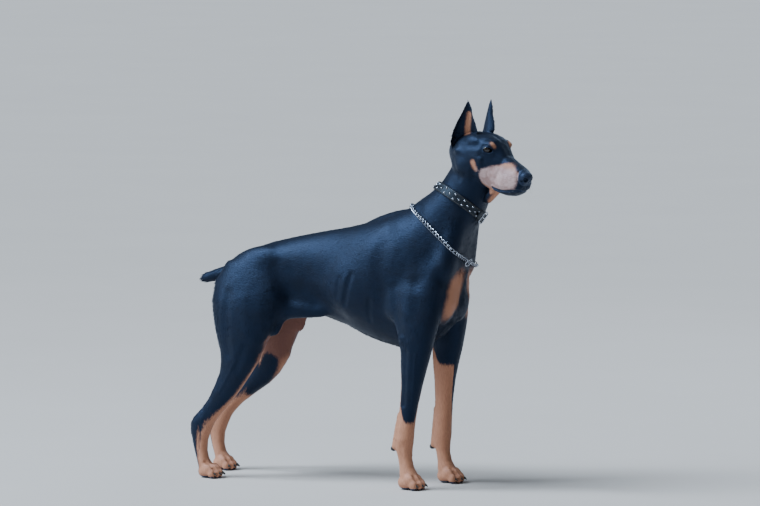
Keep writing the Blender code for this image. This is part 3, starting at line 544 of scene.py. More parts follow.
def add_forms(bm, forms, turn):
    """Adds forms that are drawn in another frame."""
    own = bmesh.new()
    forms(own)
    own.transform(turn)
    borrowed = bpy.data.meshes.new("forms")
    own.to_mesh(borrowed)
    own.free()
    bm.from_mesh(borrowed)
    bpy.data.meshes.remove(borrowed)


# Sculpted relief


def ease(share):
    share = np.clip(share, 0, 1)
    return share * share * (3 - 2 * share)


def path_distance(points, path):
    """How far each point is from a path of one or more corners."""
    path = [np.array(p, float) for p in path]
    best = np.full(len(points), np.inf)
    for a, b in zip(path, path[1:] or path):
        run = b - a
        along = np.clip((points - a) @ run / max(run @ run, 1e-12), 0, 1)
        best = np.minimum(best, np.linalg.norm(points - (a + along[:, None] * run), axis=1))
    return best


def outline_depth(points, outline):
    """How deep each flat point lies inside a closed outline, below zero outside it."""
    edge = path_distance(points, outline + outline[:1])
    inside = np.zeros(len(points), bool)
    for (ax, ay), (bx, by) in zip(outline, outline[1:] + outline[:1]):
        crosses = (ay > points[:, 1]) != (by > points[:, 1])
        inside ^= crosses & (points[:, 0] < ax + (bx - ax) * (points[:, 1] - ay) / (by - ay + 1e-12))
    return np.where(inside, edge, -edge)


def sculpt(mesh, strokes):
    """Raises or sinks the skin along strokes: path, radius, height, sides.

    A path of (x, z) corners is drawn in the side view, on the skin that faces that side, or all
    round where the sides are empty. A path of (x, y, z) corners is drawn on the left and mirrored.
    """
    points, normals = mesh_points(mesh)
    lift = np.zeros(len(points))
    for path, radius, height, sides in strokes:
        flat = len(path[0]) == 2
        for side in sides or (0,):
            if flat:
                seen = points[:, (0, 2)]
                weight = np.clip(side * normals[:, 1] * 2, 0, 1) * (points[:, 1] * side > 0) if side else 1.0
                lift += weight * height * ease(1 - path_distance(seen, path) / radius)
            else:
                turned = [(x, y * (side or 1), z) for x, y, z in path]
                lift += height * ease(1 - path_distance(points, turned) / radius)
    set_points(mesh, points + normals * lift[:, None])


BOTH, RIGHT, LEFT, ROUND = (-1, 1), (-1,), (1,), ()

# Muscles, bones, folds and tendons of the body
BODY_STROKES = (
    (((0.150, 0.600), (0.135, 0.520), (0.152, 0.440)), 0.034, -0.0024, BOTH),
    (((0.168, 0.618), (0.235, 0.520)), 0.030, 0.0012, BOTH),
    (((0.215, 0.652), (0.272, 0.560), (0.290, 0.500)), 0.024, -0.0022, BOTH),
    (((0.176, 0.475), (0.188, 0.405), (0.196, 0.372)), 0.020, -0.0026, BOTH),
    (((0.216, 0.500), (0.214, 0.420)), 0.026, 0.0018, BOTH),
    (((0.198, 0.352),), 0.018, 0.0022, BOTH),
    (((0.222, 0.345), (0.216, 0.270)), 0.018, 0.0014, BOTH),
    (((-0.080, 0.466), (-0.050, 0.436)), 0.034, -0.0026, BOTH),
    (((-0.149, 0.510), (-0.133, 0.463), (-0.073, 0.446), (-0.012, 0.421), (0.020, 0.404)), 0.024, -0.0020, BOTH),
    (((-0.090, 0.485), (-0.010, 0.464), (0.045, 0.425)), 0.022, 0.0012, BOTH),
    (((0.027, 0.490), (0.018, 0.446)), 0.010, -0.0015, BOTH),
    (((0.062, 0.500), (0.040, 0.430)), 0.011, -0.0018, BOTH),
    (((0.107, 0.440), (0.098, 0.392)), 0.010, -0.0014, BOTH),
    (((0.045, 0.495), (0.030, 0.438)), 0.010, 0.0008, BOTH),
    (((-0.262, 0.445), (-0.268, 0.370), (-0.262, 0.300)), 0.020, -0.0024, BOTH),
    (((-0.225, 0.430), (-0.205, 0.350)), 0.028, 0.0014, BOTH),
    (((-0.188, 0.332),), 0.022, 0.0018, BOTH),
    (((-0.215, 0.318), (-0.240, 0.265)), 0.016, -0.0016, BOTH),
    (((-0.338, 0.168), (-0.322, 0.210), (-0.300, 0.255)), 0.011, -0.0044, BOTH),
    (((-0.240, 0.285), (-0.290, 0.205)), 0.007, 0.0008, BOTH),
    (((-0.342, 0.125), (-0.346, 0.070)), 0.007, -0.0010, BOTH),
    (((-0.335, 0.140),), 0.015, 0.0012, BOTH),
    (((0.214, 0.325), (0.203, 0.200)), 0.010, -0.0018, BOTH),
    (((0.238, 0.320), (0.226, 0.190)), 0.006, 0.0008, BOTH),
    (((0.198, 0.118),), 0.014, 0.0012, BOTH),
    (((0.198, 0.100), (0.200, 0.060)), 0.007, -0.0008, BOTH),
    (((0.150, 0.028, 0.662), (0.205, 0.028, 0.690)), 0.022, 0.0030, BOTH),
    (((0.306, 0.0, 0.480), (0.300, 0.0, 0.400)), 0.020, -0.0022, RIGHT),
)

# Where the forms of the trunk melt together: middle, and reach along X and Z
FOLDS = (
    (-0.150, 0.480, 0.150, 0.150), (0.240, 0.500, 0.100, 0.140), (0.300, 0.600, 0.080, 0.120),
    (0.040, 0.460, 0.130, 0.140),
)

# Bones, folds, lips and lids of the head, in its own frame
HEAD_STROKES = (
    (((0.002, 0.046, -0.034), (0.020, 0.038, -0.040)), 0.014, -0.0030, BOTH),
    (((-0.012, -0.040), (0.004, -0.030)), 0.010, 0.0014, BOTH),
    (((-0.026, -0.058), (-0.030, -0.082)), 0.010, -0.0018, BOTH),
    (((-0.062, -0.055),), 0.026, 0.0016, BOTH),
    (((0.030, -0.030), (0.070, -0.030)), 0.014, -0.0016, BOTH),
    (((0.010, -0.004), (0.050, -0.016), (0.085, -0.025)), 0.006, 0.0008, BOTH),
    (((-0.026, 0.004), (-0.048, -0.002)), 0.013, -0.0022, BOTH),
    (((-0.085, 0.0, 0.026), (0.002, 0.0, 0.026)), 0.010, -0.0016, RIGHT),
    (((0.020, 0.0, 0.012), (0.036, 0.0, -0.003)), 0.012, -0.0012, RIGHT),
    (((-0.014, 0.0125), (0.004, 0.0105)), 0.008, 0.0014, BOTH),
    (((0.044, -0.072), (0.070, -0.070), (0.092, -0.062)), 0.010, 0.0018, BOTH),
    (((0.028, -0.0878), (0.050, -0.0874)), 0.0044, 0.0018, BOTH),
    (((0.022, -0.078), (0.012, -0.066), (0.010, -0.052)), 0.006, -0.0012, BOTH),
    (((0.034, -0.060), (0.040, -0.040)), 0.008, -0.0010, BOTH),
    (((0.1120, 0.0, -0.0460), (0.1080, 0.0, -0.0680)), 0.0042, -0.0022, RIGHT),
    (((0.0890, -0.0270), (0.0950, -0.0490), (0.1060, -0.0580)), 0.0036, -0.0018, BOTH),
    (((-0.030, 0.058, -0.070), (-0.060, 0.058, -0.080)), 0.014, -0.0016, BOTH),
    (((-0.086, -0.050), (-0.060, -0.088)), 0.012, -0.0012, BOTH),
)


def lid_strokes():
    """The rims of the lids and the crease over each eye, in the head's frame."""
    for side in (-1, 1):
        place = eye_frame(side)
        turns = [math.tau * i / 20 for i in range(21)]
        rim = [place @ Vector((0.0098, 0.0122 * math.cos(t), 0.0068 * math.sin(t))) for t in turns]
        crease = [place @ Vector((0.0100, 0.0135 * math.cos(t), 0.0122 * math.sin(t))) for t in turns[1:10]]
        yield [tuple(p) for p in rim], 0.0042, 0.0012, ROUND
        yield [tuple(p) for p in crease], 0.0030, -0.0009, ROUND


def toe_strokes():
    """Grooves between the toes."""
    for fore in (True, False):
        for side in (-1, 1):
            cx, cy, length, width = paw_place(fore, side)
            toes = list(toe_places(cx, cy, length, width))
            for (xa, ya, _), (xb, yb, _) in zip(toes, toes[1:]):
                x, y = (xa + xb) / 2, (ya + yb) / 2
                path = ((x - 0.30 * length, y, 0.037), (x, y, 0.027), (x + 0.22 * length, y, 0.008))
                yield path, 0.0080, -0.0042, ROUND


# Skins


def remesh(obj, voxel):
    step = obj.modifiers.new("fuse", "REMESH")
    step.mode = "VOXEL"
    step.voxel_size = voxel
    apply_modifiers(obj)


def soften(obj, rounds, group=""):
    step = obj.modifiers.new("soften", "SMOOTH")
    step.factor = 0.5
    step.iterations = rounds
    step.vertex_group = group
    apply_modifiers(obj)


def weigh(obj, name, weights):
    """A vertex group with these weights, in twenty steps."""
    group = obj.vertex_groups.new(name=name)
    steps = np.rint(weights * 20).astype(int)
    for level in range(1, 21):
        group.add(np.flatnonzero(steps == level).tolist(), level / 20, "REPLACE")


def soften_trunk(obj):
    """Evens out the trunk and neck fully, and the legs and the head hardly at all."""
    points, _ = mesh_points(obj.data)
    low = np.clip((points[:, 2] - 0.30) / 0.12, 0, 1)
    neck = np.clip((0.80 - points[:, 2] - 0.25 * np.maximum(0, points[:, 0] - 0.25)) / 0.10, 0, 1)
    weigh(obj, "trunk", low * neck)
    soften(obj, TRUNK_ROUNDS, "trunk")
    points, _ = mesh_points(obj.data)
    reach = np.zeros(len(points))
    for x, z, wide, high in FOLDS:
        reach = np.maximum(reach, 1 - np.hypot((points[:, 0] - x) / wide, (points[:, 2] - z) / high))
    weigh(obj, "folds", ease(reach * 2.2) * low)
    soften(obj, FOLD_ROUNDS, "folds")


def thin(obj, faces):
    """Thins a skin to about this number of triangles."""
    triangles = obj.modifiers.new("triangles", "TRIANGULATE")
    triangles.quad_method = "BEAUTY"
    apply_modifiers(obj)
    fewer = obj.modifiers.new("fewer", "DECIMATE")
    fewer.ratio = min(1.0, faces / len(obj.data.polygons))
    apply_modifiers(obj)


def cut_flat(obj, point, direction):
    """Removes what lies ahead of a plane and closes the cut."""
    bm = bmesh.new()
    bm.from_mesh(obj.data)
    everything = bm.verts[:] + bm.edges[:] + bm.faces[:]
    cut = bmesh.ops.bisect_plane(bm, geom=everything, plane_co=point, plane_no=direction, clear_outer=True)
    rim = [edge for edge in cut["geom_cut"] if isinstance(edge, bmesh.types.BMEdge)]
    bmesh.ops.contextual_create(bm, geom=rim)
    bm.to_mesh(obj.data)
    bm.free()


def carve(obj, bm):
    """Cuts closed forms out of a skin."""
    cutter = add_object("cutter", mesh_from(bm, "cutter"))
    step = obj.modifiers.new("carve", "BOOLEAN")
    step.operation = "DIFFERENCE"
    step.solver = "MANIFOLD"
    step.object = cutter
    apply_modifiers(obj)
    bpy.data.objects.remove(cutter)


def inset(mesh, depth):
    """Moves a skin in by the coat's depth at each vertex."""
    points, normals = mesh_points(mesh)
    set_points(mesh, points - normals * np.broadcast_to(depth, len(points))[:, None])


def body_skin():
    bm = bmesh.new()
    torso_forms(bm)
    for side in (-1, 1):
        foreleg_forms(bm, side)
        hindleg_forms(bm, side)
    add_forms(bm, head_forms, head_matrix())
    skin = add_object("skin_body", mesh_from(bm, "skin_body"))
    remesh(skin, BODY_VOXEL)
    soften_trunk(skin)
    soften(skin, BODY_ROUNDS)
    sculpt(skin.data, BODY_STROKES + tuple(toe_strokes()))
    inset(skin.data, COAT_DEPTH)
    cut_flat(skin, (0, 0, 0), (0, 0, -1))
    return skin


def finish_body(skin):
    """Ends the body's skin under the collar and thins it."""
    middle, _, axis = loop_frame(COLLAR_NAPE, COLLAR_THROAT, COLLAR_ROLL)
    cut_flat(skin, middle + axis * COLLAR_WIDTH * 0.27, axis)
    thin(skin, BODY_FACES)


def eye_frame(side):
    """The eye's middle with its X axis along the gaze, in the head's frame."""
    centre = Vector((EYE_PLACE.x, side * EYE_PLACE.y, EYE_PLACE.z))
    gaze = Matrix.Rotation(side * GAZE_OUT, 4, "Z") @ Matrix.Rotation(-GAZE_UP, 4, "Y")
    return Matrix.Translation(centre) @ gaze


def head_hollows():
    """The eye openings, as forms to cut out."""
    bm = bmesh.new()
    for side in (-1, 1):
        place = eye_frame(side)
        opening = place @ Matrix.Translation((EYE_RADIUS * 0.98, 0, 0)) @ Matrix.Diagonal((*EYE_OPENING, 1))
        bmesh.ops.create_icosphere(bm, subdivisions=4, radius=1, matrix=opening)
    return bm


def nostril_forms():
    bm = bmesh.new()
    for side in (-1, 1):
        turn = Matrix.Rotation(side * 0.55, 4, "Z") @ Matrix.Rotation(-0.5, 4, "Y")
        place = Matrix.Translation((0.1095, side * 0.0103, -0.0410)) @ turn @ Matrix.Diagonal((*NOSTRIL, 1))
        bmesh.ops.create_icosphere(bm, subdivisions=3, radius=1, matrix=place)
        slot = Matrix.Translation((0.1040, side * 0.0178, -0.0455)) @ turn @ Matrix.Diagonal((0.007, 0.0050, 0.0016, 1))
        bmesh.ops.create_icosphere(bm, subdivisions=3, radius=1, matrix=slot)
    return bm


def head_skin():
    """The head with its ears and the upper neck, in the head's own frame."""
    turn = head_matrix()
    bm = bmesh.new()
    head_forms(bm)
    ball(bm, (-0.119, 0, -0.034), (0.020, 0.036, 0.034))
    add_forms(bm, neck_forms, turn.inverted())
    skin = add_object("skin_head", mesh_from(bm, "skin_head"))
    remesh(skin, HEAD_VOXEL)
    soften(skin, HEAD_ROUNDS)
    points, _ = mesh_points(skin.data)
    weigh(skin, "temples", ease((-0.014 - points[:, 0]) / 0.030))
    soften(skin, TEMPLE_ROUNDS, "temples")
    sculpt(skin.data, HEAD_STROKES)
    carve(skin, head_hollows())
    eyes = bmesh.new()
    for side in (-1, 1):
        bmesh.ops.create_icosphere(eyes, subdivisions=4, radius=EYE_RADIUS + 0.0003, matrix=eye_frame(side))
    carve(skin, eyes)
    carve(skin, nostril_forms())
    ears = bmesh.new()
    ears.from_mesh(skin.data)
    for side in (-1, 1):
        ear_forms(ears, side)
    skin.data = mesh_from(ears, "skin_head")
    remesh(skin, HEAD_VOXEL)
    soften(skin, FINE_ROUNDS)
    sculpt(skin.data, tuple(lid_strokes()) + mouth_strokes())
    points, _ = mesh_points(skin.data)
    inset(skin.data, COAT_DEPTH * (1 - ease((points[:, 2] - 0.015) / 0.02)))
    skin.data.transform(turn)
    middle, _, axis = loop_frame(COLLAR_NAPE, COLLAR_THROAT, COLLAR_ROLL)
    cut_flat(skin, middle - axis * COLLAR_WIDTH * 0.27, -axis)
    thin(skin, HEAD_FACES)
    return skin


def mouth_strokes():
    """The line between the lips, with the upper lip hanging a little over it."""
    above = [(x, z + 0.0040) for x, z in MOUTH]
    below = [(x, z - 0.0042) for x, z in MOUTH]
    return (
        (MOUTH, 0.0030, -0.0034, ROUND),
        (above, 0.0050, 0.0014, ROUND),
        (below, 0.0045, 0.0006, ROUND),
    )


# Markings


# Edge of the tan on the side of the muzzle, in the head's frame (x, z)
MUZZLE_TAN = (
    (-0.012, -0.062), (-0.006, -0.047), (0.018, -0.0326), (0.032, -0.0278), (0.0464, -0.0186), (0.059, -0.0149),
    (0.0711, -0.0188), (0.0839, -0.0264), (0.0923, -0.0330), (0.0944, -0.0588), (0.0905, -0.0680), (0.080, -0.0740),
    (0.064, -0.0795), (0.044, -0.0825), (0.026, -0.0810), (0.021, -0.1000), (0.010, -0.1070), (0.002, -0.0950),
    (-0.0074, -0.0836), (-0.010, -0.0720),
)
# The same inside each thigh, in the photo's frame (x, z)
THIGH_TAN = (
    (-0.070, 0.366), (-0.085, 0.398), (-0.125, 0.412), (-0.160, 0.432), (-0.230, 0.420), (-0.268, 0.370), (-0.262, 0.255),
    (-0.225, 0.235), (-0.150, 0.300),
)
# How far to the front the skin has to face to be tan, by height, on the lower hind leg
SHANK_TAN = (
    (0.010, -1.2), (0.028, -0.80), (0.055, -0.48), (0.110, -0.14), (0.150, 0.06), (0.190, 0.42), (0.260, 0.72),
    (0.330, 0.90), (0.400, 1.20),
)
# Inside the ear the tan is a stripe: share of the height, turn round the hollow in degrees
EAR_STRIPE = ((0.04, 84), (0.20, 82), (0.36, 79), (0.51, 73), (0.67, 58))


def near_path(points, path, radius):
    """How deep each point lies inside a tube round a path, below zero outside it."""
    return radius - path_distance(points, path)


def mirrored(points):
    """Points turned to the left side, so that one mark serves both."""
    turned = points.copy()
    turned[:, 1] = np.abs(turned[:, 1])
    return turned


def to_head(points):
    """Points from the photo's frame in the head's own frame."""
    back = np.array(head_matrix().inverted())
    return points @ back[:3, :3].T + back[:3, 3]


def head_tan(points, normals):
    """How deep each point lies inside the tan of the head, in metres."""
    local = to_head(points)
    turned = mirrored(local)
    faces = normals @ np.array(head_matrix())[:3, :3]
    faces[:, 1] *= np.where(local[:, 1] < 0, -1, 1)
    muzzle = np.minimum(outline_depth(local[:, (0, 2)], MUZZLE_TAN), turned[:, 1] - 0.008)
    throat = near_path(local[:, (0, 2)], ((0.030, -0.104), (0.016, -0.128)), 0.0135)
    ear = near_path(turned, [ear_hollow(share, turn) for share, turn in EAR_STRIPE], 0.0062)
    inner = faces @ np.array((0.49, 0.87, 0.05))
    marks = [
        muzzle,
        near_path(turned, ((0.003, 0.030, 0.0165), (0.011, 0.028, 0.0125)), 0.0060),
        near_path(turned, ((-0.027, 0.050, -0.037), (-0.019, 0.049, -0.052)), 0.0064),
        np.minimum(throat, 0.024 - turned[:, 1]),
        np.minimum(ear, (inner - 0.20) * 0.02),
    ]
    return np.max(marks, axis=0)


def body_tan(points, normals):
    """How deep each point lies inside the tan of the body, in metres."""
    x, y, z = mirrored(points).T
    outward = normals[:, 1] * np.where(points[:, 1] < 0, -1, 1)
    ahead = normals[:, 0]
    across = np.abs(points[:, 1] - 0.015)
    up = z - 0.457
    patch = 1 - np.hypot((across - 0.047 + up * 0.30) / (0.026 + up * 0.08), up / 0.056)
    chest = np.where((x > 0.22) & (ahead > 0.1), patch * 0.016, -1)
    inner = ease(0.5 - outward * 1.2 - ahead * 0.30)
    outer_edge = 0.158 + 0.037 * ease((0.2 - ahead) / 0.8) + 0.13 * ease((-ahead - 0.72) / 0.2)
    inner_edge = 0.282 + 0.050 * ease(-ahead * 1.2)
    fore = np.where((x > 0) & (z < 0.38), outer_edge * (1 - inner) + inner_edge * inner - z, -1)
    far = np.where(points[:, 1] > 0, FAR_HIND_STEP, 0) * ease((0.245 - z) / 0.095)
    thigh = np.minimum(outline_depth(np.stack((x, z), 1), list(THIGH_TAN)), (ahead * 0.35 - outward - 0.05) * 0.04)
    heights, limits = np.array(SHANK_TAN).T
    shank = (ahead * 0.94 - outward * 0.30 - np.interp(z, heights, limits)) * 0.022
    hind = np.where(x < -0.05, np.maximum(thigh, np.minimum(shank, 0.40 - z)), -1)
    dark = near_path(np.stack((x - far, z), 1), ((-0.236, 0.270), (-0.252, 0.235), (-0.266, 0.205)), 0.022)
    dark = np.where((outward < -0.1) & (x < -0.1), dark, -1)
    tail = near_path(points, ((-0.310, 0, 0.452), (-0.300, 0, 0.430)), 0.024)
    return np.minimum(np.max([chest, fore, hind, tail], axis=0), -dark)


def coat_numbers(points, normals, on_head):
    """What the coat's material reads: tan, bare skin, pale muzzle, painted shade inside the thighs, limbs and face."""
    count = len(points)
    numbers = {"face": np.full(count, float(on_head)), "limb": np.zeros(count)}
    if on_head:
        local = to_head(points)
        numbers["tan"] = head_tan(points, normals)
        nose = outline_depth(local[:, (0, 2)], NOSE_LEATHER)
        lip = 0.0034 - path_distance(local[:, (0, 2)], MOUTH)
        lip = np.where(local[:, 0] > 0.02, lip, -0.01)
        rims = [0.0030 - np.abs(np.linalg.norm(local - np.array(eye_frame(s).translation), axis=1) - 0.0117) for s in (-1, 1)]
        numbers["bare"] = np.maximum(nose, np.maximum(lip, np.maximum(*rims) - 0.001))
        muzzle_pale_thigh_shade = near_path(mirrored(local), ((0.010, 0.035, -0.060), (0.075, 0.025, -0.055)), 0.040)
        numbers["muzzle_pale_thigh_shade"] = ease(muzzle_pale_thigh_shade / 0.02)
    else:
        numbers["tan"] = body_tan(points, normals)
        sole = np.minimum(0.0055 - points[:, 2], (-normals[:, 2] - 0.3) * 0.02)
        numbers["bare"] = sole
        # Below zero inside each thigh: painted shade that darkens the tan there.
        numbers["muzzle_pale_thigh_shade"] = -ease(outline_depth(mirrored(points)[:, (0, 2)], list(THIGH_TAN)) / 0.03)
        numbers["limb"] = ease((0.43 - points[:, 2]) / 0.08)
    numbers["tan"] = np.clip(numbers["tan"] * (66 if on_head else 45), -1, 1)
    numbers["bare"] = np.clip(numbers["bare"] * 200, -1, 1)
    return numbers


# Lie of the coat, and tufts


TUFT_STEPS = ((0.0, 1.0), (0.55, 0.85))


def lie_of_body(points):
    """The way the hair runs on the body, before it is laid along the skin."""
    x, y, z = points.T
    side = np.where(y < 0, -1.0, 1.0)
    back = np.stack((-np.ones(len(x)), 0.10 * side, np.full(len(x), -0.30)), 1)
    neck = np.stack((np.full(len(x), -0.55), 0.05 * side, -np.ones(len(x))), 1)
    leg = np.stack((np.full(len(x), -0.18), 0 * side, -np.ones(len(x))), 1)
    rise = ease((x - 0.20) / 0.08)[:, None]
    low = ease((0.44 - z) / 0.10)[:, None]
    mixed = back * (1 - rise) + neck * rise
    return mixed * (1 - low) + leg * low


def lie_of_head(points):
    """The way the hair runs on the head: back from the nose and up the ears."""
    local = to_head(points)
    back = np.stack((-np.ones(len(local)), 0.25 * np.sign(local[:, 1]), -0.12 * np.ones(len(local))), 1)
    up = np.array((-0.12, 0.0, 1.0))
    ear = ease((local[:, 2] - 0.020) / 0.015)[:, None] * ease((-0.045 - local[:, 0]) / 0.01)[:, None]
    down = ease((-0.085 - local[:, 2]) / 0.03)[:, None] * ease((-0.02 - local[:, 0]) / 0.03)[:, None]
    mixed = back * (1 - ear) + up * ear + np.array((-0.2, 0.0, -1.0)) * down
    return mixed @ np.array(head_matrix())[:3, :3].T


def body_thickness(points, normals):
    """How thick tufts stand on the body, most where the coat breaks the form."""
    x, y, z = mirrored(points).T
    turned = mirrored(points)
    ahead, up = normals[:, 0], normals[:, 2]
    outward = normals[:, 1] * np.where(points[:, 1] < 0, -1, 1)
    marks = [
        np.full(len(x), 0.06),
        (x < -0.25) & (z > 0.27) & (z < 0.46) & (ahead < -0.3),
        (x > 0.1) & (z > 0.12) & (z < 0.36) & (ahead < -0.4),
        0.8 * ((y < 0.03) & (up < -0.5) & (z > 0.28)),
        0.9 * ((x > 0.25) & (y < 0.022) & (z > 0.38) & (z < 0.52)),
        0.9 * (path_distance(turned, ((0.315, 0.045, 0.640), (0.285, 0.060, 0.520))) < 0.014),
        1.0 * ((x < -0.305) & (z > 0.42)),
        0.8 * (path_distance(turned[:, (0, 2)], ((-0.150, 0.445), (-0.155, 0.380))) < 0.02) * (outward > -0.2),
        0.8 * (path_distance(turned[:, (0, 2)], ((0.196, 0.352),)) < 0.022),
        0.5 * (z < 0.050),
        0.5 * ((np.abs(x - 0.19) < 0.03) & (y < 0.035) & (z > 0.64)),
        0.7 * ((z < 0.30) & (x < -0.2) & (ahead < -0.5)),
    ]
    return np.max(marks, axis=0) * (z > 0.006)


def head_thickness(points, normals):
    local = to_head(points)
    turned = mirrored(local)
    x, y, z = turned.T
    ear_edge = path_distance(turned, EAR_FRONT[1:]) < 0.006
    ear_rear = path_distance(turned, EAR_REAR[1:]) < 0.005
    inside = path_distance(turned, ((-0.070, 0.050, 0.014), (-0.072, 0.045, 0.050))) < 0.013
    marks = [
        np.full(len(x), 0.12),
        0.6 * ear_edge, 0.25 * ear_rear, 0.7 * inside,
        0.7 * ((z < -0.088) & (x < 0.03)),
        0.6 * (path_distance(turned, ((-0.088, 0.050, -0.020), (-0.085, 0.045, -0.080))) < 0.012),
        0.5 * (path_distance(turned, ((0.004, 0.028, 0.012),)) < 0.010),
        0.4 * ((x > 0.07) & (z < -0.078)),
    ]
    eyes = [np.linalg.norm(local - np.array(eye_frame(s).translation), axis=1) > 0.0165 for s in (-1, 1)]
    bare = (outline_depth(local[:, (0, 2)], NOSE_LEATHER) < -0.002) & (path_distance(local[:, (0, 2)], MOUTH) > 0.004)
    return np.max(marks, axis=0) * eyes[0] * eyes[1] * bare


def triangles_of(mesh):
    """The corners, loops, areas and normals of a mesh's triangles."""
    mesh.calc_loop_triangles()
    count = len(mesh.loop_triangles)
    corners, loops = np.empty(count * 3, int), np.empty(count * 3, int)
    areas, normals = np.empty(count), np.empty(count * 3)
    mesh.loop_triangles.foreach_get("vertices", corners)
    mesh.loop_triangles.foreach_get("loops", loops)
    mesh.loop_triangles.foreach_get("area", areas)
    mesh.loop_triangles.foreach_get("normal", normals)
    return corners.reshape(-1, 3), loops.reshape(-1, 3), areas, normals.reshape(-1, 3)


def unit(vectors):
    return vectors / np.maximum(np.linalg.norm(vectors, axis=1, keepdims=True), 1e-9)


def tuft_roots(mesh, thickness, count, rng):
    """Random places on the skin, more of them where the coat is thicker."""
    corners, loops, areas, normals = triangles_of(mesh)
    points, _ = mesh_points(mesh)
    middles = points[corners].mean(1)
    share = areas * thickness(middles, normals)
    chosen = rng.choice(len(areas), count, p=share / share.sum())
    weights = rng.dirichlet((1, 1, 1), count)
    places = (points[corners[chosen]] * weights[:, :, None]).sum(1)
    map_points = np.empty(len(mesh.loops) * 2)
    mesh.uv_layers["OFBake"].data.foreach_get("uv", map_points)
    spots = map_points.reshape(-1, 2)[loops[chosen, 0]]
    return places, normals[chosen], spots


def grow_tufts(name, skin, look, thickness, lie, count, length, width, rng):
    """Thin closed blades that lie along the skin, joined as one piece."""
    roots, normals, spots = tuft_roots(skin.data, thickness, count, rng)
    on_head = lie is lie_of_head
    along = lie(roots) + rng.normal(0, 0.10, (count, 3))
    along = unit(along - normals * (along * normals).sum(1, keepdims=True))
    across = np.cross(normals, along)
    small = length(roots)[:, None] * rng.uniform(0.7, 1.25, (count, 1))
    thick = width(roots)[:, None] * rng.uniform(0.7, 1.2, (count, 1))
    rise = rng.uniform(0.05, 0.20, (count, 1))
    sunk = roots - normals * 0.0012
    rings = []
    for share, full in TUFT_STEPS:
        middle = sunk + along * small * share + normals * (0.0006 + small * rise * share * (1.3 - 0.6 * share))
        for sideways, height in ((-1.0, 0.0), (1.0, 0.0), (0.0, 0.8)):
            rings.append(middle + (across * sideways + normals * height) * thick * full / 2)
    tip = sunk + along * small + normals * (0.0010 + small * rise * 0.75)
    corners = np.stack(rings + [tip], 1)
    faces = np.array((
        (0, 2, 1), (0, 1, 4), (0, 4, 3), (1, 2, 5), (1, 5, 4), (2, 0, 3), (2, 3, 5), (3, 4, 6), (4, 5, 6), (5, 3, 6),
    ))
    everything = (faces[None] + 7 * np.arange(count)[:, None, None]).reshape(-1)
    mesh = bpy.data.meshes.new(name)
    mesh.vertices.add(count * 7)
    mesh.vertices.foreach_set("co", corners.astype(np.float32).reshape(-1))
    mesh.loops.add(len(everything))
    mesh.loops.foreach_set("vertex_index", everything.astype(np.int32))
    mesh.polygons.add(len(everything) // 3)
    mesh.polygons.foreach_set("loop_start", np.arange(0, len(everything), 3, dtype=np.int32))
    mesh.update(calc_edges=True)
    numbers = coat_numbers(roots, normals, on_head)
    add_numbers(mesh, {key: np.repeat(values, 7) for key, values in numbers.items()})
    patch = np.array(((0, 0), (1, 0), (0.5, 0.1), (0.1, 0.6), (0.9, 0.6), (0.5, 0.7), (0.5, 1.0))) - 0.5
    spread = spots[:, None, :] + patch[None] * 0.003
    layer = mesh.uv_layers.new(name="OFBake")
    layer.data.foreach_set("uv", spread.reshape(-1, 2)[everything].astype(np.float32).reshape(-1))
    mesh.shade_smooth()
    tilt = unit(normals + along * 0.10 + rng.normal(0, 0.05, (count, 3)))
    mesh.normals_split_custom_set_from_vertices(np.repeat(tilt, 7, axis=0))
    mesh.materials.append(look)
    return add_object(name, mesh)


def unwrap(obj):
    """A map of the skin's own shape, named OFBake."""
    obj.data.uv_layers.new(name="OFBake")
    bpy.ops.object.select_all(action="DESELECT")
    bpy.context.view_layer.objects.active = obj
    obj.select_set(True)
    bpy.ops.object.mode_set(mode="EDIT")
    bpy.ops.mesh.select_all(action="SELECT")
    bpy.ops.uv.smart_project(angle_limit=math.radians(75), island_margin=0.001)
    bpy.ops.object.mode_set(mode="OBJECT")
    obj.select_set(False)


def body_length(points):
    low = ease((0.40 - points[:, 2]) / 0.10)
    paw = ease((0.09 - points[:, 2]) / 0.05)
    return 0.012 - 0.004 * low - 0.003 * paw


def body_width(points):
    return 0.0012 - 0.0004 * ease((0.10 - points[:, 2]) / 0.05)


def head_length(points):
    local = to_head(points)
    return 0.0060 - 0.0024 * ease((local[:, 0] + 0.06) / 0.05)


def head_width(points):
    local = to_head(points)
    return 0.0010 - 0.0004 * ease((local[:, 0] + 0.06) / 0.05)


# Materials


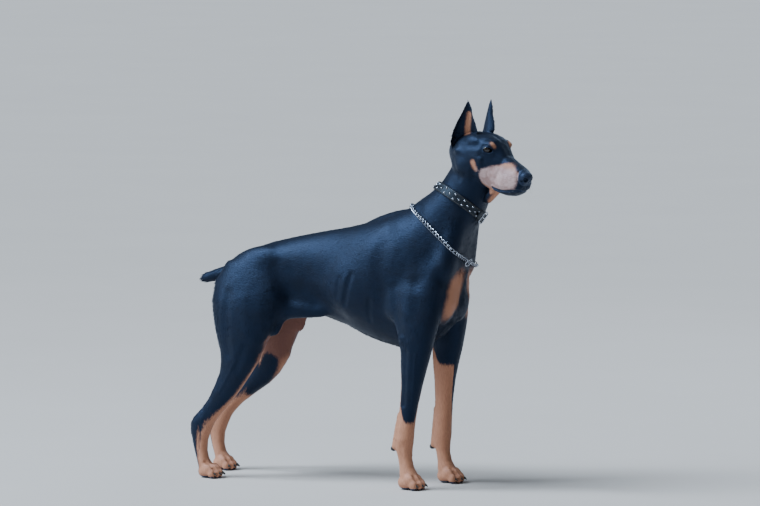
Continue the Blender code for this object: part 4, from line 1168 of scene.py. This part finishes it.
class Graph:
    """A material, with short calls that add nodes to it."""

    def __init__(self, name, roughness, **constants):
        self.look = bpy.data.materials.new(name)
        self.look.use_nodes = True
        self.tree = self.look.node_tree
        self.shader = self.tree.nodes["Principled BSDF"]
        self.shader.inputs["Roughness"].default_value = roughness
        for key, value in constants.items():
            self.shader.inputs[key.replace("_", " ")].default_value = value

    def feed(self, socket, value):
        if isinstance(value, bpy.types.NodeSocket):
            self.tree.links.new(value, socket)
        else:
            socket.default_value = value

    def add(self, kind, named=None, **settings):
        node = self.tree.nodes.new("ShaderNode" + kind)
        for key, value in settings.items():
            setattr(node, key, value)
        for key, value in (named or {}).items():
            self.feed(node.inputs[key], value)
        return node

    def math(self, operation, first, second=0.0):
        return self.add("Math", {0: first, 1: second}, operation=operation).outputs[0]

    def number(self, name):
        return self.add("Attribute", attribute_name=name).outputs["Fac"]

    def place(self, scale=(1, 1, 1), turn=(0, 0, 0)):
        """The surface's own coordinates, turned and then stretched."""
        point = self.add("TexCoord").outputs["Object"]
        turned = self.add("Mapping", {"Vector": point, "Rotation": turn}).outputs[0]
        return self.add("Mapping", {"Vector": turned, "Scale": scale}).outputs[0]

    def noise(self, place, scale, detail=2.0, rough=0.5):
        named = {"Vector": place, "Scale": scale, "Detail": detail, "Roughness": rough}
        return self.add("TexNoise", named).outputs["Fac"]

    def step(self, value, low, high, first=0.0, last=1.0):
        named = {"Value": value, "From Min": low, "From Max": high, "To Min": first, "To Max": last}
        return self.add("MapRange", named, interpolation_type="SMOOTHSTEP").outputs[0]

    def mix(self, share, first, second):
        """A colour between two colours, or a number between two numbers."""
        if isinstance(first, (int, float)) or getattr(first, "type", "") == "VALUE":
            node = self.add("Mix", {0: share, 2: first, 3: second}, data_type="FLOAT")
            return node.outputs[0]
        return self.add("Mix", {0: share, 6: first, 7: second}, data_type="RGBA").outputs[2]

    def bump(self, height, strength, distance, normal=None):
        named = {"Height": height, "Strength": strength, "Distance": distance}
        if normal:
            named["Normal"] = normal
        return self.add("Bump", named).outputs[0]

    def output(self, **values):
        for key, value in values.items():
            self.feed(self.shader.inputs[key.replace("_", " ")], value)
        return self.look


def colour(red, green, blue):
    return (red, green, blue, 1.0)


def hair_grain(graph):
    """Fine streaks along the lie of the hair on the trunk, the legs and the head."""
    yaw = -HEAD_YAW
    trunk = graph.noise(graph.place((22, 230, 200), (0, math.radians(-16), 0)), 3.0, 4, 0.6)
    leg = graph.noise(graph.place((230, 230, 22), (0, math.radians(8), 0)), 3.0, 4, 0.6)
    face = graph.noise(graph.place((34, 300, 260), (0, -HEAD_PITCH, yaw)), 3.0, 4, 0.6)
    body = graph.mix(graph.number("limb"), trunk, leg)
    return graph.mix(graph.number("face"), body, face)


def coat_look():
    """Glossy black hair with tan marks, and bare skin on the nose, lips, lids and soles."""
    # The blue specular and sheen tints are painted reflection of a blue sky; the black hair itself reflects white.
    graph = Graph(
        "coat", 0.4, Sheen_Weight=0.04, Sheen_Roughness=0.50, Sheen_Tint=colour(0.30, 0.55, 1.0),
        Specular_Tint=colour(0.28, 0.50, 1.0), Specular_IOR_Level=0.36,
    )
    grain = hair_grain(graph)
    broad = graph.noise(graph.place(), 26.0, 3, 0.6)
    edge = graph.math("ADD", graph.math("MULTIPLY", grain, 0.80), graph.math("MULTIPLY", broad, 0.36))
    tan = graph.step(graph.math("ADD", graph.number("tan"), graph.math("SUBTRACT", edge, 0.58)), -0.20, 0.24)
    bare = graph.step(graph.number("bare"), -0.10, 0.14)
    # The faint blue in the black is painted reflection of a blue sky as well.
    black = graph.mix(grain, colour(0.0020, 0.0026, 0.0050), colour(0.0065, 0.0085, 0.0150))
    black = graph.mix(graph.step(broad, 0.35, 0.70), black, colour(0.0050, 0.0052, 0.0070))
    rust = graph.mix(grain, colour(0.290, 0.112, 0.052), colour(0.650, 0.310, 0.170))
    # Painted shade: a darker copy of the tan, used inside the thighs where they lie in shadow.
    painted_shade_rust = graph.mix(grain, colour(0.105, 0.038, 0.019), colour(0.250, 0.108, 0.062))
    rust = graph.mix(graph.step(graph.number("muzzle_pale_thigh_shade"), -1.0, 0.0), painted_shade_rust, rust)
    muzzle = graph.mix(grain, colour(0.345, 0.214, 0.190), colour(0.600, 0.425, 0.388))
    mottled = graph.noise(graph.place(), 48.0, 3, 0.55)
    darker = graph.mix(grain, colour(0.255, 0.140, 0.114), colour(0.450, 0.283, 0.247))
    muzzle = graph.mix(graph.step(mottled, 0.34, 0.62), darker, muzzle)
    rust = graph.mix(graph.number("muzzle_pale_thigh_shade"), rust, muzzle)
    pebble = graph.add("TexVoronoi", {"Vector": graph.place(), "Scale": 900.0}).outputs["Distance"]
    # The bare skin is near-black leather; its lighter blue-grey is painted reflection of a blue sky.
    leather = graph.mix(pebble, colour(0.012, 0.016, 0.028), colour(0.034, 0.044, 0.072))
    shade = graph.mix(bare, graph.mix(tan, black, rust), leather)
    rough = graph.mix(tan, graph.step(grain, 0.2, 0.8, 0.40, 0.56), graph.step(grain, 0.2, 0.8, 0.55, 0.70))
    rough = graph.mix(bare, rough, graph.step(pebble, 0.0, 0.5, 0.26, 0.38))
    hair = graph.bump(grain, 0.60, 0.0012)
    soft = graph.bump(broad, 0.20, 0.0060, hair)
    moist = graph.bump(pebble, 0.55, 0.0006)
    normal = graph.add("Mix", {0: bare, 4: soft, 5: moist}, data_type="VECTOR").outputs[1]
    return graph.output(Base_Color=shade, Roughness=rough, Normal=normal)


def eye_look():
    """A dark brown iris round a black pupil, under a wet front."""
    graph = Graph("wet_eye", 0.14, Coat_Weight=1.0, Coat_Roughness=0.03, IOR=1.38, Specular_IOR_Level=0.3)
    off = graph.number("off_axis")
    fibre = graph.noise(graph.place((1, 1, 1)), 700.0, 3, 0.6)
    iris = graph.mix(fibre, colour(0.007, 0.0035, 0.002), colour(0.024, 0.010, 0.0045))
    inner = graph.mix(graph.step(off, 0.20, 0.25), colour(0.001, 0.001, 0.001), iris)
    limbus = graph.mix(graph.step(off, 0.50, 0.62), inner, colour(0.006, 0.004, 0.003))
    white = graph.mix(graph.step(off, 0.78, 0.92), limbus, colour(0.030, 0.020, 0.017))
    return graph.output(Base_Color=white, Normal=graph.bump(fibre, 0.04, 0.0002))


def horn_look():
    graph = Graph("claw_horn", 0.35, Specular_IOR_Level=0.5)
    grain = graph.noise(graph.place((90, 500, 500)), 2.0, 3, 0.6)
    shade = graph.mix(grain, colour(0.010, 0.009, 0.008), colour(0.048, 0.038, 0.032))
    rough = graph.step(grain, 0.2, 0.8, 0.24, 0.44)
    return graph.output(Base_Color=shade, Roughness=rough, Normal=graph.bump(grain, 0.30, 0.0004))


def pad_look():
    graph = Graph("paw_pad", 0.7)
    cells = graph.add("TexVoronoi", {"Vector": graph.place(), "Scale": 1100.0}).outputs["Distance"]
    shade = graph.mix(cells, colour(0.010, 0.010, 0.011), colour(0.034, 0.031, 0.031))
    return graph.output(Base_Color=shade, Normal=graph.bump(cells, 0.6, 0.0006))


def leather_look():
    """Black leather: fine pores, soft creases and rubbed edges."""
    # The blue specular tint is painted reflection of a blue sky.
    graph = Graph("collar_leather", 0.4, Specular_IOR_Level=0.4, Specular_Tint=colour(0.55, 0.75, 1.0))
    pores = graph.add("TexVoronoi", {"Vector": graph.place(), "Scale": 1300.0}).outputs["Distance"]
    crease = graph.noise(graph.place(), 170.0, 5, 0.65)
    rubbed = graph.step(graph.number("edge"), 0.93, 1.05)
    shade = graph.mix(crease, colour(0.0040, 0.0040, 0.0048), colour(0.012, 0.012, 0.014))
    shade = graph.mix(rubbed, shade, colour(0.036, 0.032, 0.030))
    height = graph.math("ADD", graph.math("MULTIPLY", pores, 0.4), crease)
    rough = graph.step(crease, 0.25, 0.75, 0.34, 0.56)
    return graph.output(Base_Color=shade, Roughness=rough, Normal=graph.bump(height, 0.35, 0.0007))


def thread_look():
    graph = Graph("waxed_thread", 0.6)
    twist = graph.noise(graph.place(), 1500.0, 2, 0.6)
    shade = graph.mix(twist, colour(0.030, 0.030, 0.032), colour(0.085, 0.083, 0.082))
    return graph.output(Base_Color=shade, Normal=graph.bump(twist, 0.4, 0.0003))


def steel_look():
    """Polished steel with fine scratches and a little dullness."""
    graph = Graph("polished_steel", 0.15, Metallic=1.0)
    scratch = graph.noise(graph.place((1, 6, 1)), 900.0, 3, 0.7)
    cloud = graph.noise(graph.place(), 60.0, 3, 0.6)
    shade = graph.mix(cloud, colour(0.22, 0.24, 0.29), colour(0.52, 0.56, 0.64))
    rough = graph.step(graph.math("MULTIPLY", scratch, cloud), 0.10, 0.45, 0.10, 0.28)
    return graph.output(Base_Color=shade, Roughness=rough, Normal=graph.bump(scratch, 0.06, 0.0002))


def whisker_look():
    graph = Graph("whisker", 0.35)
    streak = graph.noise(graph.place(), 500.0, 2, 0.5)
    return graph.output(Base_Color=graph.mix(streak, colour(0.012, 0.012, 0.014), colour(0.05, 0.047, 0.046)))


# Eyes, claws, pads and whiskers


def add_eye(side, word, look):
    """An eyeball with a cornea that stands a little proud."""
    bm = bmesh.new()
    turn = Matrix.Rotation(math.pi / 2, 4, "Y")
    bmesh.ops.create_uvsphere(bm, u_segments=48, v_segments=36, radius=EYE_RADIUS, matrix=turn)
    angles = []
    for vert in bm.verts:
        angle = vert.co.angle(Vector((1, 0, 0)))
        vert.co *= 1 + 0.055 * math.exp(-((angle / 0.50) ** 4))
        angles.append(angle)
    bm.transform(head_matrix() @ eye_frame(side))
    eye = join_pieces("eyeball_" + word, bm, look)
    add_numbers(eye.data, {"off_axis": angles})
    hold(eye, "eye_" + word)


def claw_forms(bm, start, ahead):
    across = Vector((-ahead.y, ahead.x, 0))
    rings = []
    for step in range(15):
        share = step / 14
        bend = math.radians(14 + 50 * share)
        drop = Vector((0, 0, CLAW_LENGTH * 0.42 * share * share))
        centre = start + ahead * CLAW_LENGTH * share - drop
        up = ahead * math.sin(bend) + Vector((0, 0, math.cos(bend)))
        size = 1.04 * (1 - share ** 1.6) ** 0.8 + 0.04
        turns = [math.tau * i / 14 for i in range(14)]
        tall, wide = up * 0.0033 * size, across * 0.0021 * size
        rings.append([centre + tall * math.sin(t) * (1 if math.sin(t) > 0 else 0.8) + wide * math.cos(t) for t in turns])
    loft(bm, rings)


def add_claws(name, look):
    """The four claws of one paw as one piece."""
    fore, side = name.startswith("fore"), -1 if name.endswith("right") else 1
    cx, cy, length, width = paw_place(fore, side)
    bm = bmesh.new()
    for x, y, across in toe_places(cx, cy, length, width):
        start = Vector((x + length * 0.14, y + across * 0.002, 0.0130))
        ahead = Vector((math.cos(across * 0.12), math.sin(across * 0.12), 0))
        claw_forms(bm, start, ahead)
    claws = join_pieces("claws_" + name, bm, look)
    hold(claws, *[f"{name}_claw_{number}" for number in range(1, 5)])


def add_carpal_pad(side, word, look):
    place = pad_place(side)
    bm = bmesh.new()
    limb(bm, place + Vector((0.014, 0, 0.004)), place, 0.0078, 0.0066)
    pad = join_pieces("pad_" + word, bm, look)
    remesh(pad, 0.0009)
    soften(pad, 6)
    pad.data.shade_smooth()
    hold(pad, "carpal_pad_" + word)


def add_whiskers(skin, look, rng):
    """A few stiff whiskers on the muzzle, in tapered rods."""
    bm = bmesh.new()
    tree = BVHTree.FromPolygons([v.co for v in skin.data.vertices], [p.vertices for p in skin.data.polygons])
    turn = head_matrix()
    for side in (-1, 1):
        for row in range(4):
            for place in range(4):
                x, z = 0.058 + 0.010 * place + 0.003 * row, -0.040 - 0.0085 * row
                start = turn @ Vector((x, side * 0.08, z))
                aim = (turn.to_3x3() @ Vector((0, -side, 0))).normalized()
                hit = tree.ray_cast(start, aim, 0.1)[0]
                if hit:
                    out = turn.to_3x3() @ Vector((-0.55, side * 1.0, -0.25 - 0.10 * row))
                    whisker_forms(bm, hit - out.normalized() * 0.002, out.normalized(), rng.uniform(0.020, 0.034))
    whiskers = join_pieces("whiskers", bm, look)
    hold(whiskers)


def whisker_forms(bm, start, out, length):
    side = out.cross(Vector((0, 0, 1))).normalized()
    other = out.cross(side)
    rings = []
    for step in range(6):
        share = step / 5
        centre = start + out * length * share - Vector((0, 0, length * 0.22 * share * share))
        size = 0.00022 * (1 - 0.85 * share)
        rings.append([centre + side * size * math.cos(t) + other * size * math.sin(t) for t in (0, 2.1, 4.2)])
    loft(bm, rings)


# Collar and chain


def loop_frame(back, front, roll):
    """The middle, the forward direction and the axis of a slanted loop round the neck."""
    middle = (back + front) / 2
    ahead = (front - back).normalized()
    return middle, ahead, Matrix.Rotation(roll, 3, ahead) @ ahead.cross(Vector((0, 1, 0)))


def loop_out(ahead, axis, angle):
    """The direction out of a loop at an angle from its front."""
    return ahead * math.cos(angle) + axis.cross(ahead) * math.sin(angle)


def skin_radius(tree, middle, ahead, axis, level, angle):
    """How far the neck's skin is from the loop's axis at this level and angle."""
    out = loop_out(ahead, axis, angle)
    centre = middle + axis * level
    hit = tree.ray_cast(centre + out * 0.25, -out)[0]
    return (hit - centre).length


def smooth_loop(values, rounds):
    for _ in range(rounds):
        ring = zip(values[-1:] + values[:-1], values, values[1:] + values[:1])
        values = [max(here, (before + here * 2 + after) / 4) for before, here, after in ring]
    return values


class Band:
    """A strap's inner face round the neck, as radii at its lower and upper edge."""

    def __init__(self, tree):
        self.middle, self.ahead, self.axis = loop_frame(COLLAR_NAPE, COLLAR_THROAT, COLLAR_ROLL)
        rows = []
        for level in (-COLLAR_WIDTH / 2, 0.0, COLLAR_WIDTH / 2):
            row = [skin_radius(tree, self.middle, self.ahead, self.axis, level, self.turn(i)) for i in range(COLLAR_STEPS)]
            rows.append(smooth_loop(row, 60))
        self.edges = []
        for low, mid, high in zip(*rows):
            mean = (low + high) / 2
            lower, upper = max(low, mean), max(high, mean - 0.004)
            lift = COLLAR_CLEAR + 0.0006 + max(0.0, mid - (lower + upper) / 2)
            self.edges.append((lower + lift, upper + lift))

    def turn(self, index):
        return math.tau * index / COLLAR_STEPS

    def place(self, angle, level, rise):
        """A point over the strap at this angle, level and height, with the outward direction."""
        share = angle / math.tau * COLLAR_STEPS
        index = int(math.floor(share))
        here, ahead = self.edges[index % COLLAR_STEPS], self.edges[(index + 1) % COLLAR_STEPS]
        blend = share - index
        lower = here[0] + (ahead[0] - here[0]) * blend
        upper = here[1] + (ahead[1] - here[1]) * blend
        out = loop_out(self.ahead, self.axis, angle)
        radius = lower + (upper - lower) * (level / COLLAR_WIDTH + 0.5)
        slope = (upper - lower) / COLLAR_WIDTH
        face = (out - self.axis * slope).normalized()
        return self.middle + self.axis * level + out * radius + face * rise, face

    def frame(self, angle, level, rise):
        """A matrix with X along the strap, Y up the axis and Z out of the strap."""
        point, face = self.place(angle, level, rise)
        after, _ = self.place(angle + 0.01, level, rise)
        along = (after - point).normalized()
        up = face.cross(along).normalized()
        along = up.cross(face)
        turn = Matrix((along, up, face)).transposed().to_4x4()
        return Matrix.Translation(point) @ turn

    def length(self):
        points = [self.place(self.turn(i), 0.0, COLLAR_THICKNESS)[0] for i in range(COLLAR_STEPS)]
        return sum((a - b).length for a, b in zip(points, points[1:] + points[:1]))


def add_collar(band, leather, steel, thread):
    half, thick, soft = COLLAR_WIDTH / 2, COLLAR_THICKNESS, 0.0011
    outline = []
    for level, rise in ((-half, soft), (-half, thick - soft), (half, thick - soft), (half, soft)):
        outline.append((level, rise))
    corners = ((-half + soft, 0), (-half, soft), (-half, thick - soft), (-half + soft, thick))
    top = tuple((-half + COLLAR_WIDTH * s / 8, thick + 0.0003) for s in range(1, 8))
    other = ((half - soft, thick), (half, thick - soft), (half, soft), (half - soft, 0))
    under = tuple((half - COLLAR_WIDTH * s / 8, 0) for s in range(1, 8))
    outline = corners + top + other + under
    sections = [[band.place(band.turn(i), level, rise)[0] for level, rise in outline] for i in range(COLLAR_STEPS)]
    bm = bmesh.new()
    closed_tube(bm, sections)
    collar = join_pieces("collar_strap", bm, leather)
    rubbed = [abs(level) / half for level, _ in outline] * COLLAR_STEPS
    add_numbers(collar.data, {"edge": rubbed})
    hold(collar, "collar")
    add_studs(band, steel)
    add_stitches(band, thread)
    add_buckle(band, leather, steel)


def add_studs(band, steel):
    """Three staggered rows of domed studs."""
    columns = int(band.length() / STUD_PITCH) * 2
    bm = bmesh.new()
    for column in range(columns):
        angle = math.tau * (column + 0.5) / columns
        if min(angle, math.tau - angle) < 0.26:
            continue
        for level in ((-STUD_ROW, STUD_ROW) if column % 2 else (0.0,)):
            stud_forms(bm, band.frame(angle, level, COLLAR_THICKNESS + 0.0003))
    studs = join_pieces("collar_studs", bm, steel)
    hold(studs)


def stud_forms(bm, frame):
    """A dome with a thin rim, sunk a little in the leather."""
    profile = ((1.0, -0.0008), (1.0, 0.0003), (0.86, 0.0005), (0.78, 0.0011), (0.60, 0.0018), (0.34, 0.0023), (0.08, 0.0025))
    rings = []
    for share, rise in profile:
        turns = [math.tau * i / 16 for i in range(16)]
        radius = STUD_RADIUS * share
        rings.append([frame @ Vector((radius * math.cos(t), radius * math.sin(t), rise)) for t in turns])
    loft(bm, rings)


def add_stitches(band, thread):
    """A line of short stitches inside each edge of the strap."""
    count = int(band.length() / 0.0046)
    bm = bmesh.new()
    for level in (-COLLAR_WIDTH / 2 + 0.0018, COLLAR_WIDTH / 2 - 0.0018):
        for index in range(count):
            angle = math.tau * (index + 0.5) / count
            if min(angle, math.tau - angle) > 0.20:
                frame = band.frame(angle, level, COLLAR_THICKNESS + 0.0002)
                rod_forms(bm, frame @ Vector((-0.0014, 0, 0)), frame @ Vector((0.0014, 0, 0)), 0.00042, 6)
    stitches = join_pieces("collar_stitches", bm, thread)
    hold(stitches)


def rod_forms(bm, start, end, radius, sides=10):
    """A straight rod with rounded ends."""
    axis = (end - start).normalized()
    side = axis.orthogonal().normalized()
    other = axis.cross(side)
    rings = []
    for cap, place in ((-0.9, start), (-0.5, start), (0.0, start), (0.0, end), (0.5, end), (0.9, end)):
        width = radius * math.sqrt(1 - cap * cap)
        centre = place + axis * radius * cap
        turns = [math.tau * i / sides for i in range(sides)]
        rings.append([centre + (side * math.cos(t) + other * math.sin(t)) * width for t in turns])
    loft(bm, rings)


def loop_forms(bm, path, radius, sides=10):
    """A closed wire along a loop of points."""
    sections = []
    count = len(path)
    for index, point in enumerate(path):
        axis = (path[(index + 1) % count] - path[index - 1]).normalized()
        centre = sum(path, Vector()) / count
        side = (point - centre) - axis * (point - centre).dot(axis)
        side.normalize()
        other = axis.cross(side)
        turns = [math.tau * i / sides for i in range(sides)]
        sections.append([point + (side * math.cos(t) + other * math.sin(t)) * radius for t in turns])
    closed_tube(bm, sections)


def rounded_box(wide, tall, corner, steps=6):
    """The points of a rectangle with rounded corners, round the origin."""
    points = []
    for quarter in range(4):
        sx, sy = ((1, 1), (-1, 1), (-1, -1), (1, -1))[quarter]
        for step in range(steps + 1):
            turn = math.pi / 2 * (quarter + step / steps)
            x = sx * (wide / 2 - corner) + corner * math.cos(turn)
            y = sy * (tall / 2 - corner) + corner * math.sin(turn)
            points.append((x, y))
    return points


def add_buckle(band, leather, steel):
    """A buckle frame with its prong, a keeper loop and the strap's free end."""
    frame = band.frame(0.0, 0.0, COLLAR_THICKNESS + 0.0016)
    bm = bmesh.new()
    loop_forms(bm, [frame @ Vector((x, y, 0)) for x, y in rounded_box(0.022, COLLAR_WIDTH + 0.0075, 0.005)], 0.0016)
    rod_forms(bm, frame @ Vector((0.0095, 0, 0.0006)), frame @ Vector((-0.0115, 0, 0.0014)), 0.0013)
    metal = join_pieces("collar_buckle", bm, steel)
    hold(metal)
    bm = bmesh.new()
    keeper_forms(bm, band.frame(-0.24, 0.0, COLLAR_THICKNESS / 2))
    tongue_forms(bm, band)
    strap = join_pieces("collar_tongue", bm, leather)
    hold(strap)


def keeper_forms(bm, frame):
    """A flat leather loop round the strap."""
    inside = rounded_box(COLLAR_THICKNESS + 0.0010, COLLAR_WIDTH + 0.0010, 0.0012, 3)
    outside = rounded_box(COLLAR_THICKNESS + 0.0030, COLLAR_WIDTH + 0.0030, 0.0020, 3)
    sections = []
    for (rise, level), (rise_out, level_out) in zip(inside, outside):
        near, far = Vector((0, level, rise)), Vector((0, level_out, rise_out))
        half = Vector((0.0035, 0, 0))
        sections.append([frame @ point for point in (near - half, far - half, far + half, near + half)])
    closed_tube(bm, sections)


def tongue_forms(bm, band):
    """The free end of the strap, which leaves the buckle and stands off a little."""
    rings = []
    for step in range(13):
        share = step / 12
        taper = 1 - ease((share - 0.86) / 0.14) * 0.55
        frame = band.frame(0.06 - 0.62 * share, 0.0, COLLAR_THICKNESS + 0.0008 + 0.0034 * share * share)
        tall = COLLAR_WIDTH / 2 * 0.94 * taper
        rings.append([frame @ Vector((0, level, rise)) for rise, level in rounded_box(0.0026, tall * 2, 0.0009, 2)])
    loft(bm, rings)


def add_ring(name, node, ahead, up, look):
    """A round wire ring that lies flat over the front of the chain."""
    place = node_middle(node)
    bm = bmesh.new()
    side = up.cross(ahead).normalized()
    turns = [math.tau * i / 40 for i in range(40)]
    loop_forms(bm, [place + (side * math.cos(t) + up * math.sin(t)) * RING_RADIUS for t in turns], RING_WIRE)
    ring = join_pieces(name, bm, look)
    hold(ring, node)


def node_middle(node):
    """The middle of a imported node's box, in the photo's frame."""
    low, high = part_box(node)
    return (Vector(low) + Vector(high)) / 2 - Vector((CENTRE_SHIFT, 0, 0))


def chain_loop(tree):
    """The points of the chain's line round the neck, and the direction out of the skin at each."""
    middle, ahead, axis = loop_frame(CHAIN_BACK, CHAIN_FRONT, CHAIN_ROLL)
    radii = []
    for i in range(CHAIN_STEPS):
        angle = math.tau * i / CHAIN_STEPS
        levels = (-CHAIN_WIDTH / 2, 0.0, CHAIN_WIDTH / 2)
        radii.append(max(skin_radius(tree, middle, ahead, axis, level, angle) for level in levels))
    radii = smooth_loop(radii, 40)
    lift = CHAIN_THICKNESS / 2 + COLLAR_CLEAR
    outs = [loop_out(ahead, axis, math.tau * i / CHAIN_STEPS) for i in range(CHAIN_STEPS)]
    points = [middle + out * (radius + lift) for out, radius in zip(outs, radii)]
    return points, outs


def add_chain(tree, steel):
    """A curb chain: flat oval links, each twisted and passing through the next."""
    points, outs = chain_loop(tree)
    ends = points[1:] + points[:1]
    total = sum((b - a).length for a, b in zip(points, ends))
    count = int(total / (LINK_LENGTH * 0.74) / 2) * 2
    bm = bmesh.new()
    index, walked = 0, 0.0
    for number in range(count):
        goal = total * number / count
        while walked + (ends[index] - points[index]).length < goal:
            walked += (ends[index] - points[index]).length
            index += 1
        share = (goal - walked) / (ends[index] - points[index]).length
        link_forms(bm, points[index].lerp(ends[index], share), (ends[index] - points[index]).normalized(), outs[index])
    chain = join_pieces("curb_chain", bm, steel)
    hold(chain, "chain")


def link_forms(bm, centre, along, out):
    """One oval link, tilted about its length so that the links lie over each other."""
    across = out.cross(along).normalized()
    out = along.cross(across)
    tilt = Matrix.Rotation(math.radians(20), 3, along)
    across, out = tilt @ across, tilt @ out
    path = []
    for step in range(24):
        turn = math.tau * step / 24
        twist = out * 0.0011 * math.sin(2 * turn)
        path.append(centre + along * LINK_LENGTH / 2 * math.cos(turn) + across * CHAIN_WIDTH / 2 * 0.86 * math.sin(turn) + twist)
    loop_forms(bm, path, LINK_WIRE, 8)


# Stage


def add_stage():
    """A pale floor that reaches past the horizon."""
    graph = Graph("studio_floor", 0.85)
    cloud = graph.noise(graph.place(), 1.5, 4, 0.6)
    grain = graph.noise(graph.place(), 120.0, 3, 0.6)
    shade = graph.mix(cloud, colour(0.520, 0.470, 0.43), colour(0.565, 0.512, 0.47))
    look = graph.output(Base_Color=shade, Normal=graph.bump(grain, 0.05, 0.001))
    bm = bmesh.new()
    bmesh.ops.create_grid(bm, x_segments=8, y_segments=8, size=70)
    floor = add_object("floor", mesh_from(bm, "floor"))
    floor.location = (0, 0, -0.0002)
    floor.data.materials.append(look)


def add_area(name, place, target, size, energy, tint):
    lamp = bpy.data.lights.new(name, "AREA")
    lamp.shape = "RECTANGLE"
    lamp.size, lamp.size_y = size
    lamp.energy = energy
    lamp.color = tint
    obj = bpy.data.objects.new(name, lamp)
    bpy.context.scene.collection.objects.link(obj)
    obj.location = place
    obj.rotation_euler = (Vector(target) - Vector(place)).to_track_quat("-Z", "Y").to_euler()


def add_lights():
    sky = bpy.data.lights.new("sky", "SUN")
    sky.energy = 6.5
    sky.angle = math.radians(34)
    sky.color = (0.68, 0.83, 1.0)
    lamp = bpy.data.objects.new("sky", sky)
    lamp.rotation_euler = (math.radians(22), math.radians(-26), 0)
    bpy.context.scene.collection.objects.link(lamp)
    add_area("key", (2.4, -4.2, 2.6), (0.1, 0, 0.5), (1.2, 1.2), 13, (0.72, 0.86, 1.0))
    add_area("side", (-3.6, -2.4, 2.4), (0, 0, 0.5), (1.4, 1.6), 140, (0.64, 0.81, 1.0))
    add_area("rim", (0.6, 3.8, 2.8), (0.1, 0, 0.6), (2.4, 1.6), 28, (0.62, 0.80, 1.0))
    world = bpy.data.worlds.new("studio")
    world.use_nodes = True
    background = world.node_tree.nodes["Background"]
    background.inputs["Color"].default_value = (0.92, 0.95, 1.0, 1)
    background.inputs["Strength"].default_value = 0.085
    bpy.context.scene.world = world


def add_camera():
    azimuth, height = math.radians(VIEW_AZIMUTH), math.radians(VIEW_HEIGHT)
    level = Vector((math.sin(azimuth), -math.cos(azimuth), 0)) * math.cos(height)
    back = level + Vector((0, 0, math.sin(height)))
    data = bpy.data.cameras.new("camera")
    data.sensor_width = 36
    data.lens = VIEW_LENS
    data.clip_end = 300
    camera = bpy.data.objects.new("camera", data)
    bpy.context.scene.collection.objects.link(camera)
    camera.location = VIEW_TARGET + Vector((CENTRE_SHIFT, 0, 0)) + back * VIEW_DISTANCE
    camera.rotation_euler = (-back).to_track_quat("-Z", "Y").to_euler()
    bpy.context.scene.camera = camera


# The whole model


BODY_NODES = ["chest", "rump", "neck", "tail"]
BODY_NODES += [f"{part}_{word}" for part in ("foreleg", "forepaw", "hindleg", "hindpaw") for word in ("left", "right")]
HEAD_NODES = ("head", "lower_jaw", "nose", "ear_left", "ear_right")


def hold(piece, *nodes):
    """Fixes a piece to the one body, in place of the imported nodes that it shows."""
    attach(piece, "root")
    if nodes:
        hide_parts(*nodes)


def shift(obj):
    obj.data.transform(Matrix.Translation((CENTRE_SHIFT, 0, 0)))


def tree_of(obj):
    corners = [v.co for v in obj.data.vertices]
    return BVHTree.FromPolygons(corners, [p.vertices for p in obj.data.polygons])


def finish_skin(skin, look, on_head):
    points, normals = mesh_points(skin.data)
    add_numbers(skin.data, coat_numbers(points, normals, on_head))
    unwrap(skin)
    skin.data.materials.append(look)
    skin.data.shade_smooth()


def add_tufts(body, head, look):
    rng = np.random.default_rng(SEED)
    pieces = [
        grow_tufts("coat_body", body, look, body_thickness, lie_of_body, BODY_TUFTS, body_length, body_width, rng),
        grow_tufts("coat_head", head, look, head_thickness, lie_of_head, HEAD_TUFTS, head_length, head_width, rng),
    ]
    for piece in pieces:
        shift(piece)
        hold(piece)


def main():
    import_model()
    coat = coat_look()
    steel = steel_look()
    body, head = body_skin(), head_skin()
    tree = tree_of(body)
    band = Band(tree)
    add_collar(band, leather_look(), steel, thread_look())
    add_chain(tree, steel)
    finish_body(body)
    finish_skin(body, coat, False)
    finish_skin(head, coat, True)
    add_tufts(body, head, coat)
    add_whiskers(head, whisker_look(), np.random.default_rng(SEED + 1))
    shift(body)
    shift(head)
    hold(body, *BODY_NODES)
    hold(head, *HEAD_NODES)
    eye, horn, pad = eye_look(), horn_look(), pad_look()
    for side, word in ((-1, "right"), (1, "left")):
        add_eye(side, word, eye)
        add_carpal_pad(side, word, pad)
        for paw in ("forepaw_", "hindpaw_"):
            add_claws(paw + word, horn)
    _, ahead, axis = loop_frame(CHAIN_BACK, CHAIN_FRONT, CHAIN_ROLL)
    add_ring("ring_of_chain", "chain_ring", loop_out(ahead, axis, RING_TURN), axis, steel)
    add_stage()
    add_lights()
    add_camera()


main()
